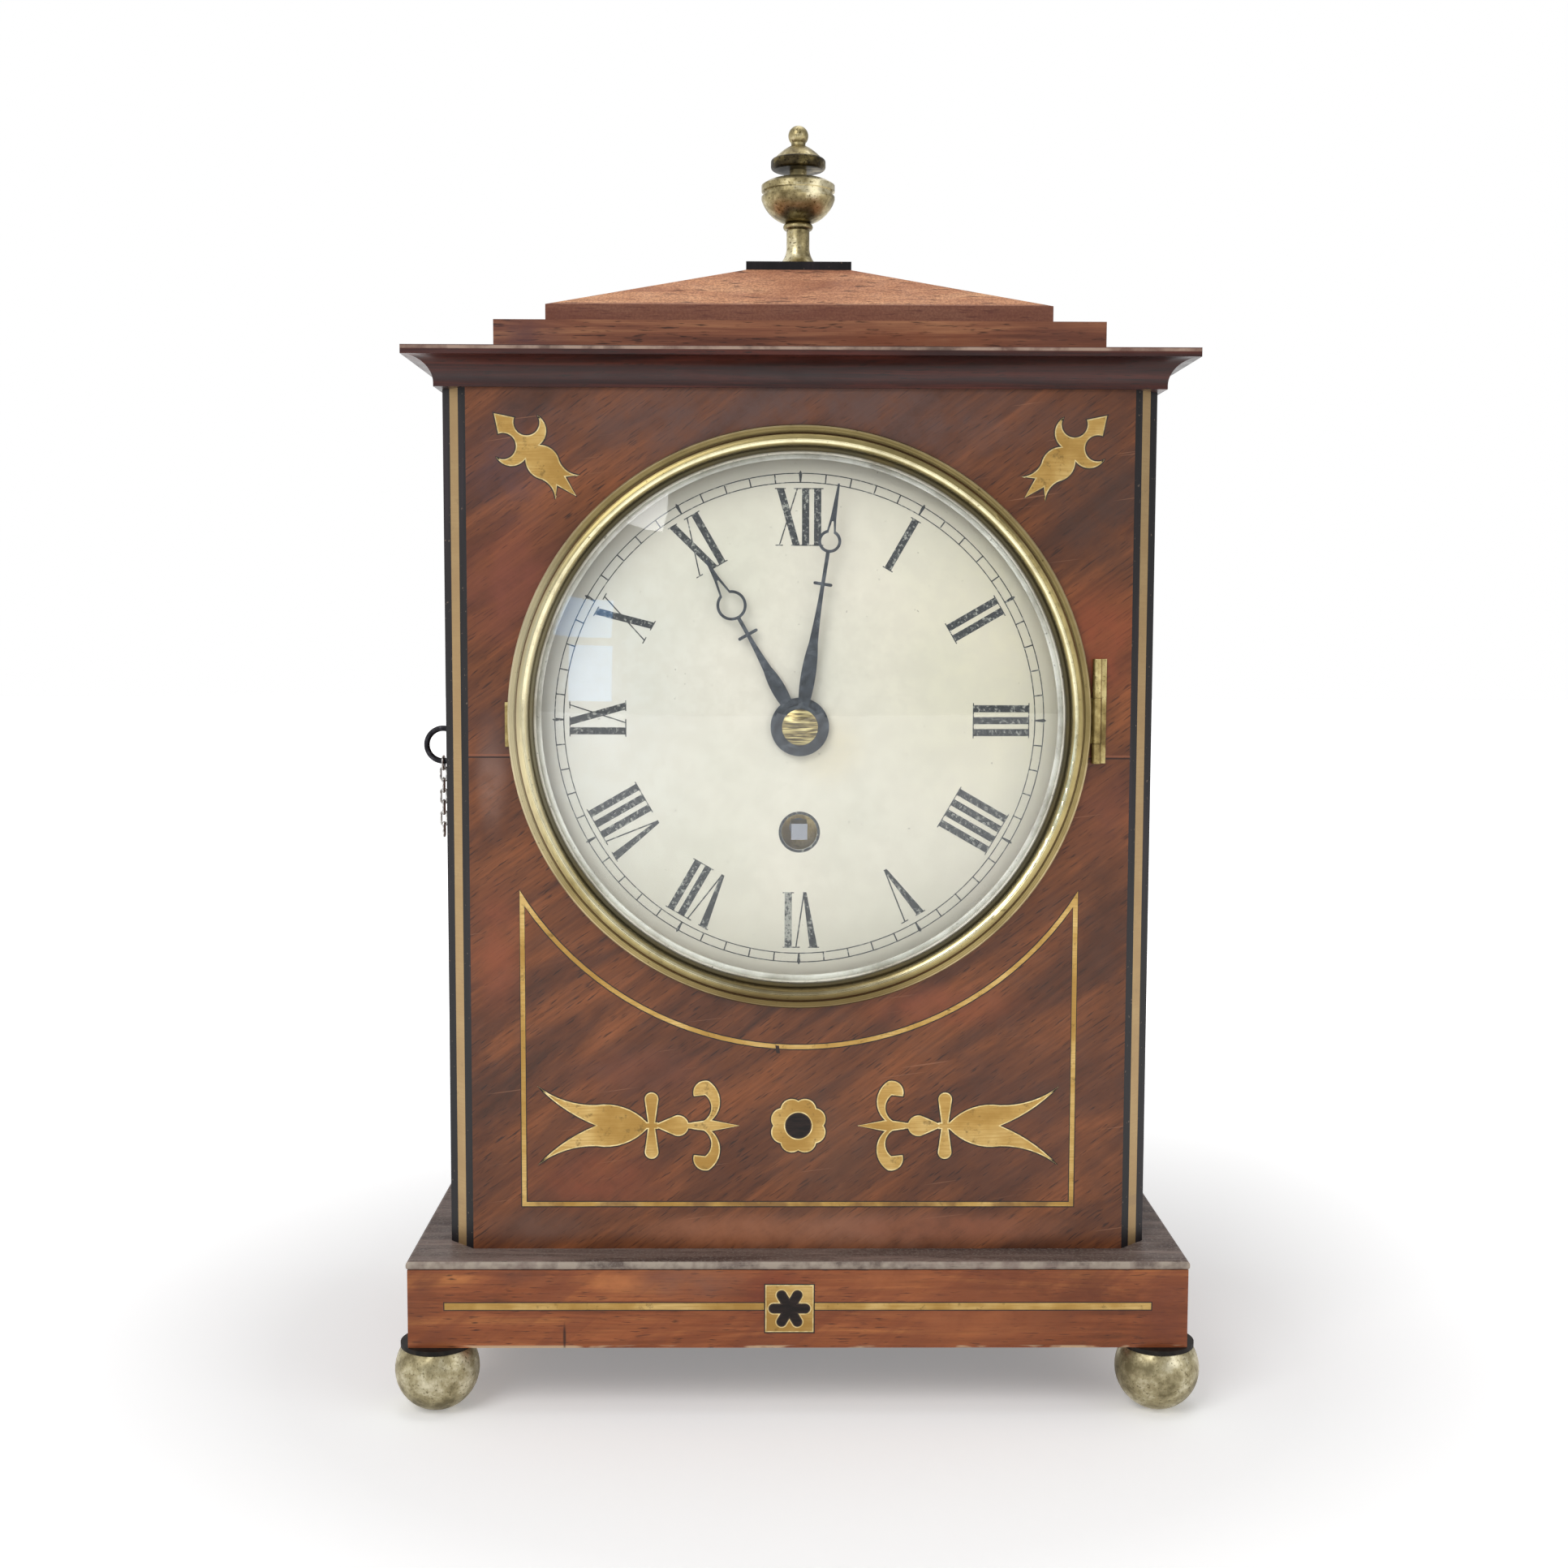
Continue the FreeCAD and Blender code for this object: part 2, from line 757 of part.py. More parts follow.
def corner_ornament():
    """Square head, two crescent arms and a body with three tails, on a falling diagonal."""
    shape = inlaid([
        (-43.4, 0), ((-36.9, 4.3), (-28.2, 10)), ((-9.8, 7), (-15.7, 25.2)), ((-2.4, 22.8), (3.5, 8.9)),
        ((13.6, 13.8), (25.2, 11.1)), ((36.3, 10), (46.1, 15.2)), (38.5, 5.3), (56.6, 0),
    ], value("corner_ornament_length") / 100)
    shape.rotate(Vector(), Vector(0, 0, 1), -45)
    shape.translate(Vector(-value("corner_ornament_reach"), value("corner_ornament_height"), 0))
    return shape


def tulip():
    """Tulip head with two open petals, a cross leaf, a bud and two scrolls before the point."""
    unit = value("tulip_length") / 100
    head = inlaid([
        (71.1, 0), ((83.8, 6.5), (100, 20)), ((84.4, 12.1), (70.8, 10.4)), ((56.1, 8.8), (45.8, 1.8)),
        (40.2, 1.7), (40.2, 0),
    ], unit)
    leaf = inlaid([(41.9, 0), (40.1, 13), ((43.6, 16.8), (47, 13)), (45.2, 0)], unit, closed)
    bud = inlaid([
        (41.3, 0), (41.3, 0.9), ((36, 3.3), (31.6, 5.2)), ((26.8, 3.9), (25.3, 1.5)), (20.9, 1.7), (20.9, 0),
    ], unit)
    scroll = inlaid([
        (22.5, 0.2), (20.9, 1.4), ((14.4, 7), (17.1, 15.3)), (22.7, 14.7), ((21.2, 21), (15.3, 22.5)),
        ((10.1, 15.4), (14.1, 2.4)), (14.7, 0.2),
    ], unit, closed)
    point = inlaid([(23.9, 0), (23.9, 1.7), (14.7, 3), (0, 0)], unit)
    below = (Vector(), Vector(0, 1, 0))
    shape = joined([head, bud, point, leaf, scroll, leaf.mirror(*below), scroll.mirror(*below)])
    shape.translate(Vector(value("tulip_inner_reach"), value("tulip_height"), 0))
    return shape


def rosette():
    """Eight round lobes about a hole for the dark centre."""
    reach = value("rosette_radius")
    valley = value("rosette_valley")
    lobes = 8
    spots = []
    for number in range(2 * lobes + 1):
        angle = math.pi * number / lobes
        radius = reach if number % 2 else valley
        spots.append((radius * math.cos(angle), radius * math.sin(angle)))
    steps = [(spots[number], spots[number + 1]) for number in range(1, 2 * lobes, 2)]
    flat = slab(Part.Wire(edges_along(spots[0], *steps)), -SINK, 0)
    shape = flat.cut(disc(value("rosette_centre_radius"), -SINK, 0))
    shape.translate(Vector(0, value("tulip_height"), 0))
    return shape


def stringing():
    """Line round the lower panel: two uprights, a base line and an arc that follows the bezel."""
    width = value("string_width")
    reach = value("string_reach")
    low = value("string_bottom") - width / 2
    high = value("bezel_height")
    radius = value("string_arc_radius")
    ring = disc(radius + width / 2, -SINK, 0, 0, high).cut(disc(radius - width / 2, -SINK, 0, 0, high))
    inside = bar((-reach - width / 2, reach + width / 2), (low, high), (-SINK, 0))
    outer = radius + width / 2
    shoulder = high - math.sqrt(outer ** 2 - (reach + width / 2) ** 2)
    pieces = [ring.common(inside)]
    for side in (-1, 1):
        edges = sorted((side * (reach - width / 2), side * (reach + width / 2)))
        pieces.append(bar(edges, (low, shoulder), (-SINK, 0)))
    pieces.append(bar((-reach, reach), (low, low + width), (-SINK, 0)))
    upper = bar((-2 * reach, 2 * reach), (high - 1, high + 1), (-SINK, 0))
    return joined(pieces).cut(upper)


FRONT_PLACE = ("0", "front", "0", FACING)
left_corner = corner_ornament()
corner_brass = Part.Compound([left_corner, left_corner.mirror(*RIGHT_HAND)])
right_tulip = tulip()
lower_brass = Part.Compound([right_tulip, right_tulip.mirror(*RIGHT_HAND), rosette()])
corner_ornaments = shaped("corner_brass", corner_brass, *FRONT_PLACE)
lower_ornaments = shaped("lower_brass", lower_brass, *FRONT_PLACE)
part("brass_ornaments", group("ornaments", plinth_square, corner_ornaments, lower_ornaments))
panel_string = shaped("string_brass", stringing(), *FRONT_PLACE)
rosette_centre = rod(
    "rosette_centre", "y", "rosette_centre_radius", ("front", "front + inlay_depth"), ("0", "tulip_height"),
)
part("ebony_inlays", group("ebony", plinth_flower, rosette_centre))


# ---------------------------------------------------------------------------------------------
# Case: front panel between canted posts, two sides, and a frame behind.

CASE_RISE = ("case_bottom", "case_top")
panel = box("panel_blank", ("-panel_reach", "panel_reach"), ("front", "panel_back"), CASE_RISE)
dial_opening = rod("dial_opening", "y", "dial_opening_radius", ("front", "panel_back"), ("0", "bezel_height"))
tongue_way = box(
    "tongue_way", ("-tongue_reach - tongue_slot", "-dial_opening_radius + tongue_slot"),
    ("front", "panel_back"), ("tongue_low - tongue_slot", "tongue_low + tongue_height + tongue_slot"),
)
part("front_panel", cut(
    "panel", panel, dial_opening, tongue_way, corner_ornaments, panel_string, lower_ornaments, rosette_centre,
))


def post(name, side):
    """Square post whose front corner is canted, with the brass string let into the cant."""
    outline = [
        ("half_width", "side_front"), ("panel_reach", "front"), ("panel_reach", "panel_back"),
        ("panel_reach - post_lap", "panel_back"), ("panel_reach - post_lap", "front + post_depth"),
        ("inner_reach", "front + post_depth"), ("inner_reach", "side_front"),
    ]
    blank = sawn(name + "_blank", "XY_Plane", [(f"{side} * ({x})", y) for x, y in outline], "case_height")
    place(blank, "0", "0", "case_bottom")
    run = "corner_string_width / sqrt(8)"
    sink = "inlay_depth / sqrt(2)"
    middle_x = "half_width - corner_cant / 2"
    middle_y = "front + corner_cant / 2"
    strip = [
        (f"{middle_x} + {run}", f"{middle_y} + {run}"),
        (f"{middle_x} - {run}", f"{middle_y} - {run}"),
        (f"{middle_x} - {run} - {sink}", f"{middle_y} - {run} + {sink}"),
        (f"{middle_x} + {run} - {sink}", f"{middle_y} + {run} + {sink}"),
    ]
    string = sawn(name + "_string", "XY_Plane", [(f"{side} * ({x})", y) for x, y in strip], "case_height")
    place(string, "0", "0", "case_bottom")
    return cut(name, blank, string), string


left_post, left_corner_string = post("left_post", -1)
right_post, right_corner_string = post("right_post", 1)
part("corner_posts", group("posts", left_post, right_post))
part("brass_stringing", group(
    "strings", left_string, right_string, panel_string, left_corner_string, right_corner_string,
))

left_side = box("left_side_blank", ("-half_width", "-inner_reach"), ("side_front", "back"), CASE_RISE)
keyhole_round = rod(
    "keyhole_round", "x", "key_hole_radius", ("-half_width", "-inner_reach"), ("key_y", "keyhole_height"),
)
bit_half = "(key_bit_thickness / 2 + hinge_slit)"
bit_depth = "key_bit_length + hinge_slit"
keyhole_slot = box(
    "keyhole_slot", ("-half_width", "-inner_reach"), (f"key_y - {bit_half}", f"key_y + {bit_half}"),
    (f"keyhole_height - ({bit_depth})", "keyhole_height"),
)
right_side = box("right_side", ("inner_reach", "half_width"), ("side_front", "back"), CASE_RISE)
part("side_panels", group("sides", cut("left_side", left_side, keyhole_round, keyhole_slot), right_side))

frame_blank = box("frame_blank", ("-inner_reach", "inner_reach"), ("frame_front", "back"), CASE_RISE)
frame_opening = box(
    "frame_opening", ("-door_opening_reach", "door_opening_reach"), ("frame_front", "back"),
    ("door_opening_low", "door_opening_high"),
)
part("back_frame", cut("back_frame_cut", frame_blank, frame_opening))


# ---------------------------------------------------------------------------------------------
# Cornice, mitred at the two front corners: a fillet over a cove over a small bead.

MOULDING = [
    ("cornice_bead", "0"), ("cornice_bead", "cornice_bead_height"), ("cove_edge", "cove_top"),
    ("cornice_projection", "cove_top"), ("cornice_projection", "cornice_height"),
]
COVE_START = 1

across = [(f"half_width + {x}", z) for x, z in MOULDING] + [(f"-half_width - {x}", z) for x, z in MOULDING[::-1]]
second_cove = len(across) - 2 - COVE_START
side_prism = sawn(
    "cornice_sides", "XZ_Plane", across, "case_depth + cornice_projection",
    {COVE_START: ("cove", -1), second_cove: ("cove", -1)},
)
place(side_prism, "0", "back", "case_top")
along = [(f"front - {x}", z) for x, z in MOULDING] + [("back", "cornice_height"), ("back", "0")]
front_prism = sawn(
    "cornice_front", "YZ_Plane", along, "2 * (half_width + cornice_projection)",
    {COVE_START: ("cove", 1)}, both_ways=True,
)
place(front_prism, "0", "0", "case_top")
cornice_core = box(
    "cornice_core", ("-top_inner_reach", "top_inner_reach"), ("top_inner_front", "back"),
    ("case_top", "cornice_top"),
)
part("cornice", cut("cornice_cut", common("cornice_mitre", side_prism, front_prism), cornice_core))


# ---------------------------------------------------------------------------------------------
# Top: a board inside the cornice, a step, the hipped roof block and the black finial plinth.

part("top_board", box(
    "top_inner", ("-top_inner_reach", "top_inner_reach"), ("top_inner_front", "back"),
    ("case_top", "cornice_top"),
))
part("top_step", box(
    "step", ("-half_width + step_inset", "half_width - step_inset"),
    ("front + step_inset", "back - step_inset"), ("cornice_top", "step_top"),
))
roof_edge = box("roof_edge", ("-roof_reach", "roof_reach"), ("roof_front", "roof_back"), ("step_top", "roof_edge_top"))
slope = doc.addObject("Part::Wedge", "roof_slope")
WEDGE = {
    "Xmin": "-roof_reach", "Xmax": "roof_reach", "Ymin": "0", "Ymax": "roof_slope_height",
    "Zmin": "-roof_back", "Zmax": "-roof_front",
    "X2min": "-finial_plinth_width / 2", "X2max": "finial_plinth_width / 2",
    "Z2min": "-middle - finial_plinth_width / 2", "Z2max": "-middle + finial_plinth_width / 2",
}
for side, formula in WEDGE.items():
    slope.setExpression(side, bound(formula))
place(slope, "0", "0", "roof_edge_top", FACING)
part("roof", fuse("roof_block", roof_edge, slope))
part("finial_plinth", box(
    "finial_block", ("-finial_plinth_width / 2", "finial_plinth_width / 2"),
    ("middle - finial_plinth_width / 2", "middle + finial_plinth_width / 2"), ("roof_top", "finial_bottom"),
))


# ---------------------------------------------------------------------------------------------
# Finial in three turnings: an urn, a dark disc and a lid with a ball.

foot_edge = "0.9"
urn = turned("urn", [
    ("0", "0"),
    ("urn_foot_radius", "0"),
    ("urn_foot_radius", foot_edge),
    ("urn_stem_radius", "urn_foot_height"),
    ("urn_stem_radius", "urn_ring_height"),
    ("urn_stem_radius + urn_ring_size", "urn_ring_height + urn_ring_size"),
    ("urn_stem_radius", "urn_ring_height + 2 * urn_ring_size"),
    ("urn_rim_radius", "urn_bowl_height"),
    ("urn_rim_radius", "urn_groove_low"),
    ("urn_rim_radius - urn_groove_depth", "urn_groove_low"),
    ("urn_rim_radius - urn_groove_depth", "urn_groove_high"),
    ("urn_rim_radius", "urn_groove_high"),
    ("urn_rim_radius", "urn_lip_top"),
    ("urn_neck_radius", "urn_neck_low"),
    ("urn_neck_radius", "urn_height"),
    ("0", "urn_height"),
], {
    2: ("urn_foot_height", -1),
    4: ("urn_ring_size", 1),
    5: ("urn_ring_size", 1),
    6: ("urn_bowl_curve", 1),
    12: ("urn_rim_radius", 1),
})
part("finial_urn", place(urn, "0", "middle", "finial_bottom"))
disc_blank = turned("finial_disc", [
    ("0", "0"),
    ("disc_radius - disc_round", "0"),
    ("disc_radius", "disc_round"),
    ("disc_radius", "disc_height - disc_round"),
    ("disc_radius - disc_round", "disc_height"),
    ("0", "disc_height"),
], {1: ("disc_round", 1), 3: ("disc_round", 1)})
part("finial_collar", place(disc_blank, "0", "middle", "disc_bottom"))
ball_rise = "sqrt(top_ball_radius ^ 2 - lid_neck_radius ^ 2)"
lid = turned("lid", [
    ("0", "0"),
    ("disc_radius - disc_round", "0"),
    ("lid_neck_radius", "lid_height"),
    ("lid_neck_radius", "lid_height + lid_neck_height"),
    ("0", f"lid_height + lid_neck_height + {ball_rise} + top_ball_radius"),
], {1: ("2 * disc_radius", 1), 3: ("top_ball_radius", 1)})
part("finial_lid", place(lid, "0", "middle", "lid_bottom"))


# ---------------------------------------------------------------------------------------------
# Bezel: a turned ring with a flat rim, a round ridge and a lip that holds the glass from the front.

bezel_blank = turned("bezel_blank", [
    ("glass_radius + glass_clearance", "bezel_gap"),
    ("bezel_radius - rim_bevel", "bezel_gap"),
    ("bezel_radius", "bezel_gap + rim_bevel"),
    ("bezel_radius", "rim_height - rim_bevel / 2"),
    ("bezel_radius - rim_bevel / 2", "rim_height"),
    ("bezel_radius - rim_width", "rim_height"),
    ("bezel_radius - rim_width", "bezel_flat_height"),
    ("ridge_distance + ridge_size", "bezel_flat_height"),
    ("ridge_distance + ridge_size", "ridge_height"),
    ("ridge_distance", "ridge_height + ridge_size"),
    ("ridge_distance - ridge_size", "ridge_height"),
    ("ridge_distance - ridge_size", "seat_height + rim_bevel"),
    ("glass_radius", "seat_height + rim_bevel"),
    ("sight_radius + rim_bevel / 2", "lip_height"),
    ("sight_radius", "lip_height - rim_bevel / 2"),
    ("sight_radius", "seat_height"),
    ("glass_radius + glass_clearance", "seat_height"),
], {8: ("ridge_size", 1), 9: ("ridge_size", 1)})
BEZEL_PLACE = ("0", "front", "bezel_height", FACING)
place(bezel_blank, *BEZEL_PLACE)
plate_x = ("-strike_reach", "-strike_reach + strike_plate_width")
plate_z = ("strike_height - strike_plate_height / 2", "strike_height + strike_plate_height / 2")
strike_recess = box(
    "strike_recess", plate_x, ("front - bezel_gap - strike_plate_thickness", "front - bezel_gap"), plate_z,
)
leaf_z = ("hinge_first_joint + hinge_slit / 2", "hinge_second_joint - hinge_slit / 2")
leaf_y = ("front - bezel_gap - hinge_leaf_thickness", "front - bezel_gap")
leaf_blank = box("bezel_leaf", ("hinge_axis_reach - hinge_leaf_reach", "hinge_axis_reach"), leaf_y, leaf_z)
part("bezel_ring", cut("bezel", bezel_blank, strike_recess, leaf_blank))


def knuckle(name, low, high):
    """Round knuckle on the bezel hinge's axis."""
    return rod(name, "z", "hinge_knuckle_radius", (low, high), ("hinge_axis_reach", "hinge_y"))


bezel_leaf = fuse("bezel_leaf_whole", leaf_blank, knuckle("bezel_knuckle", *leaf_z))
hinge_bore = rod(
    "hinge_bore", "z", "hinge_pin_radius + running_fit", ("hinge_low", "hinge_high"),
    ("hinge_axis_reach", "hinge_y"),
)
part("bezel_hinge_leaf", cut("bezel_leaf_bored", bezel_leaf, hinge_bore))
hinge_pin = rod(
    "hinge_pin", "z", "hinge_pin_radius", ("hinge_low", "hinge_high"), ("hinge_axis_reach", "hinge_y"),
)
case_leaf_x = ("hinge_axis_reach", "hinge_axis_reach + hinge_case_leaf_reach")
case_leaf_y = ("front - hinge_leaf_thickness", "front")
lower_leaf = box("lower_case_leaf", case_leaf_x, case_leaf_y, ("hinge_low", "hinge_first_joint"))
upper_leaf = box("upper_case_leaf", case_leaf_x, case_leaf_y, ("hinge_second_joint", "hinge_high"))
leaf_bridge = box(
    "case_leaf_bridge",
    ("hinge_axis_reach + hinge_knuckle_radius + hinge_slit", "hinge_axis_reach + hinge_case_leaf_reach"),
    case_leaf_y, ("hinge_low", "hinge_high"),
)
part("case_hinge_leaf", fuse(
    "case_leaf_whole", lower_leaf, upper_leaf, leaf_bridge, hinge_pin,
    knuckle("lower_knuckle", "hinge_low", "hinge_first_joint"),
    knuckle("upper_knuckle", "hinge_second_joint", "hinge_high"),
))

glass_curve_back = "glass_curve - glass_thickness"
glass_top = "seat_height - glass_drop + glass_curve - sqrt(glass_curve ^ 2 - sight_radius ^ 2)"
glass_edge = f"{glass_top} - glass_curve + sqrt(glass_curve ^ 2 - glass_radius ^ 2)"
glass_back_edge = f"{glass_top} - glass_curve + sqrt(({glass_curve_back}) ^ 2 - glass_radius ^ 2)"
glass = turned("glass", [
    ("0", f"{glass_top} - glass_thickness"),
    ("glass_radius", glass_back_edge),
    ("glass_radius", glass_edge),
    ("0", glass_top),
], {0: (glass_curve_back, -1), 2: ("glass_curve", 1)})
part("bezel_glass", place(glass, *BEZEL_PLACE))
retainer = turned("retainer", [
    ("ring_inner_radius", "bezel_gap"),
    ("glass_radius", "bezel_gap"),
    ("glass_radius", "bezel_gap + ring_thickness"),
    ("ring_inner_radius", "bezel_gap + ring_thickness"),
])
part("glass_retaining_ring", place(retainer, *BEZEL_PLACE))

strike_plate = box(
    "strike_plate", plate_x, ("front - bezel_gap - strike_plate_thickness", "front - bezel_gap"), plate_z,
)
tongue = box(
    "tongue", ("-tongue_reach", "-tongue_reach + tongue_thickness"),
    ("front - bezel_gap", "tongue_back"), ("tongue_low", "tongue_low + tongue_height"),
)
notch = box(
    "tongue_notch", ("-tongue_reach", "-tongue_reach + tongue_thickness"),
    ("tongue_back - notch_back - notch_length", "tongue_back - notch_back"),
    ("tongue_low", "tongue_low + notch_height"),
)
part("bezel_strike", fuse("strike", strike_plate, cut("tongue_cut", tongue, notch)))


# ---------------------------------------------------------------------------------------------
# Dial: a domed plate with four feet, and two open-worked hands under a brass cap.

dome_curve = "(dial_radius ^ 2 + dial_dome ^ 2) / (2 * dial_dome)"
dial_face = turned("dial_face", [
    ("dial_centre_hole", "-dial_set_back - dial_thickness"),
    ("dial_radius", "-dial_set_back - dial_dome - dial_thickness"),
    ("dial_radius", "-dial_set_back - dial_dome"),
    ("dial_centre_hole", "-dial_set_back"),
], {0: (dome_curve, -1), 2: (dome_curve, 1)})
place(dial_face, "0", "front", "dial_height", FACING)
DIAL_DEPTHS = ("front", "front + front_plate_depth")
winding_hole = rod("winding_hole", "y", "winding_hole_radius", DIAL_DEPTHS, ("0", "winding_height"))
arbor_hole = rod("arbor_hole", "y", "dial_centre_hole", DIAL_DEPTHS, ("0", "arbor_height"))
dial_feet = []
dial_foot_holes = []
for number, (across_sign, up_sign) in enumerate([(-1, -1), (1, -1), (-1, 1), (1, 1)]):
    spot = (f"{across_sign} * dial_foot_reach_x", f"arbor_height + {up_sign} * dial_foot_reach_z")
    shank = ("front + dial_set_back + dial_dome", "front + front_plate_depth")
    dial_feet.append(rod(f"dial_foot_{number}", "y", "dial_foot_radius", shank, spot))
    through = ("front + front_plate_depth", "front + front_plate_back + plate_thickness / 2")
    dial_feet.append(rod(f"dial_pin_{number}", "y", "dial_foot_pin", through, spot))
    dial_foot_holes.append(rod(f"dial_pin_hole_{number}", "y", "dial_foot_pin + running_fit", through, spot))
part("dial", fuse("dial_whole", cut("dial_bored", dial_face, winding_hole, arbor_hole), *dial_feet))

CENTRE_PLACE = ("0", "front", "arbor_height")
ARBOR_BORE = value("arbor_radius + running_fit")


def open_hand(length, boss, ring, inner, bar_half, leaf_half, slit, bore):
    """Hand that points up: a leaf, a cross bar, a ring that opens into a slit, and a slim point.
    The places along it are shares of its length; the widths are in millimetres."""
    thick = value("hand_thickness")
    ring_at = 0.765 * length if bore < 2 else 0.731 * length
    bar_at = ring_at - 0.175 * length
    leaf_at = 0.225 * length
    waist_at = 0.345 * length
    neck_at = ring_at + 0.8 * ring
    stem = 0.6
    wall = 0.6
    fine = 0.3

    def blade(*outline):
        shape = slab(even(*outline), 0, thick)
        shape.rotate(Vector(), Vector(0, 0, 1), 90)
        return shape

    leaf = blade(
        (0, 0), (0, 1.2), (boss * 0.6, 1.2), ((leaf_at, leaf_half), (waist_at, 0.62 * leaf_half)),
        ((1.3 * waist_at, 0.4 * leaf_half), (bar_at, stem)), (bar_at, 0),
    )
    stalk = blade((bar_at - 1, 0), (bar_at - 1, stem), (ring_at - inner - 0.2, stem), (ring_at - inner - 0.2, 0))
    crossing = blade(
        (bar_at - 0.5, 0), (bar_at - 0.5, bar_half - 0.5), ((bar_at, bar_half), (bar_at + 0.5, bar_half - 0.5)),
        (bar_at + 0.5, 0),
    )
    point = blade((ring_at, 0), (neck_at, 0.4 * ring), (ring_at + slit, 0.95), (length, fine), (length, 0))
    gap = blade((ring_at, 0), (neck_at, 0.4 * ring - wall), (ring_at + slit - wall, 0.25), (ring_at + slit - wall, 0))
    eye = disc(inner, -1, thick + 1, 0, ring_at)
    hoop = disc(ring, 0, thick, 0, ring_at)
    centre = disc(boss, 0, thick)
    whole = joined([leaf, stalk, crossing, point, hoop, centre])
    return whole.cut(eye).cut(gap).cut(disc(bore, -1, thick + 1))


def placed_hand(name, shape, angle, height):
    """Hand turned on its arbor; the angle is clockwise for the viewer when negative."""
    turn = FACING.multiply(FreeCAD.Rotation(Vector(0, 0, 1), value(angle)))
    return shaped(name, shape, "0", f"front - ({height})", "arbor_height", turn)


HOUR_BORE = value("hour_pipe_radius + running_fit")
minute_shape = open_hand(value("minute_length"), value("minute_boss"), 3.65, 2.74, 3.05, 2.35, 7, ARBOR_BORE)
hour_shape = open_hand(value("hour_length"), value("hour_boss"), 4.83, 3.93, 3.5, 2.3, 9.6, HOUR_BORE)
part("minute_hand", placed_hand("minute_blade", minute_shape, "minute_angle", "minute_height"))
part("hour_hand", placed_hand("hour_blade", hour_shape, "hour_angle", "hour_height"))
cap_dome = "2 * cap_height / 3"
cap_shell = turned("cap_shell", [
    ("0", "0"),
    ("cap_radius", "0"),
    ("cap_radius", "cap_height / 3"),
    ("0", "cap_height"),
], {2: (f"(cap_radius ^ 2 + ({cap_dome}) ^ 2) / (2 * {cap_dome})", 1)})
place(cap_shell, "0", "front - minute_height - hand_thickness", "arbor_height", FACING)
arbor_front = "front - minute_height - hand_thickness - cap_height / 3"
cap_bore = rod(
    "cap_bore", "y", "arbor_radius + running_fit",
    (f"{arbor_front} - hinge_slit", "front"), ("0", "arbor_height"),
)
part("hand_cap", cut("cap", cap_shell, cap_bore))


# ---------------------------------------------------------------------------------------------
# Movement. Everything is drawn on its arbor with depth 0 in the plane of the case's front.

def deep(start, end):
    """Levels of a slab that lies between two depths behind the case's front."""
    return (-end, -start)


def toothed(teeth, module, share, rise, fall, towards, gap=False):
    """Outline of a wheel or pinion with straight flanks. Share is the part of the pitch that a
    tooth fills; rise and fall are its reach over and under the pitch circle, in modules.
    A tooth, or a gap, points in the direction given in degrees."""
    pitch = teeth * module / 2
    step = 2 * math.pi / teeth
    begin = math.radians(towards) + (step / 2 if gap else 0)
    tip = pitch + rise * module
    root = pitch - fall * module
    flank = [(root, -0.62), (pitch, -0.5), (tip, -0.2), (tip, 0.2), (pitch, 0.5), (root, 0.62)]
    spots = []
    for number in range(teeth):
        for radius, side in flank:
            angle = begin + number * step + side * share * step
            spots.append(Vector(radius * math.cos(angle), radius * math.sin(angle), 0))
    return Part.makePolygon(spots + spots[:1])


def wheel(teeth, module, levels, towards, hub, rim, spokes=4, gap=False):
    """Train wheel with a crossed-out middle."""
    blank = slab(toothed(teeth, module, 0.36, 0.85, 1.1, towards, gap), *levels)
    low, high = levels
    inside = teeth * module / 2 - 1.1 * module - rim
    window = disc(inside, low, high).cut(disc(hub, low, high))
    for number in range(spokes):
        arm = bar((0, inside + rim / 2), (-rim / 2, rim / 2), levels)
        arm.rotate(Vector(), Vector(0, 0, 1), towards + (number + 0.5) * 360 / spokes)
        window = window.cut(arm)
    return blank.cut(window)


def pinion(leaves, module, levels, towards, gap=True):
    """Pinion whose leaves stand in the gaps of the wheel that drives it."""
    return slab(toothed(leaves, module, 0.3, 0.6, 1.35, towards, gap), *levels)


def arbor(start, end, radius, front_end, back_end, pivot):
    """Round arbor with a pivot at each end."""
    return [
        disc(radius, *deep(start, end)),
        disc(pivot, *deep(front_end, start)),
        disc(pivot, *deep(end, back_end)),
    ]


ARBOR = value("arbor_radius")
PIVOT = value("pivot_radius")
FIT = value("running_fit")
SHAKE = value("end_shake")
FRONT_PLATE = (value("front_plate_depth"), value("front_plate_back"))
BACK_PLATE = (value("back_plate_depth"), value("back_plate_back"))
BETWEEN = (FRONT_PLATE[1] + SHAKE, BACK_PLATE[0] - SHAKE)
THROUGH = (FRONT_PLATE[0] - SHAKE, BACK_PLATE[1] + SHAKE)
THIRD = (value("third_offset"), value("third_rise"))
ESCAPE = (0, value("escape_offset"))
TO_THIRD = math.degrees(math.atan2(THIRD[1], THIRD[0]))
TO_ESCAPE = math.degrees(math.atan2(ESCAPE[1] - THIRD[1], ESCAPE[0] - THIRD[0]))
TRAIN = value("train_wheel_thickness")

great_levels = deep(value("great_depth"), value("great_depth + great_thickness"))
centre_levels = deep(value("centre_depth"), value("centre_depth") + TRAIN)
third_levels = deep(value("third_depth"), value("third_depth") + TRAIN)
escape_levels = deep(value("escape_depth"), value("escape_depth") + TRAIN)
WINDING = value("winding_arbor_radius")

great = wheel(
    int(value("great_teeth")), value("great_module"), great_levels, 90,
    2.4 * WINDING, 3, 4,
).cut(disc(WINDING + FIT, *great_levels))
part("great_wheel", shaped("great", great, "0", "front", "winding_height", FACING))

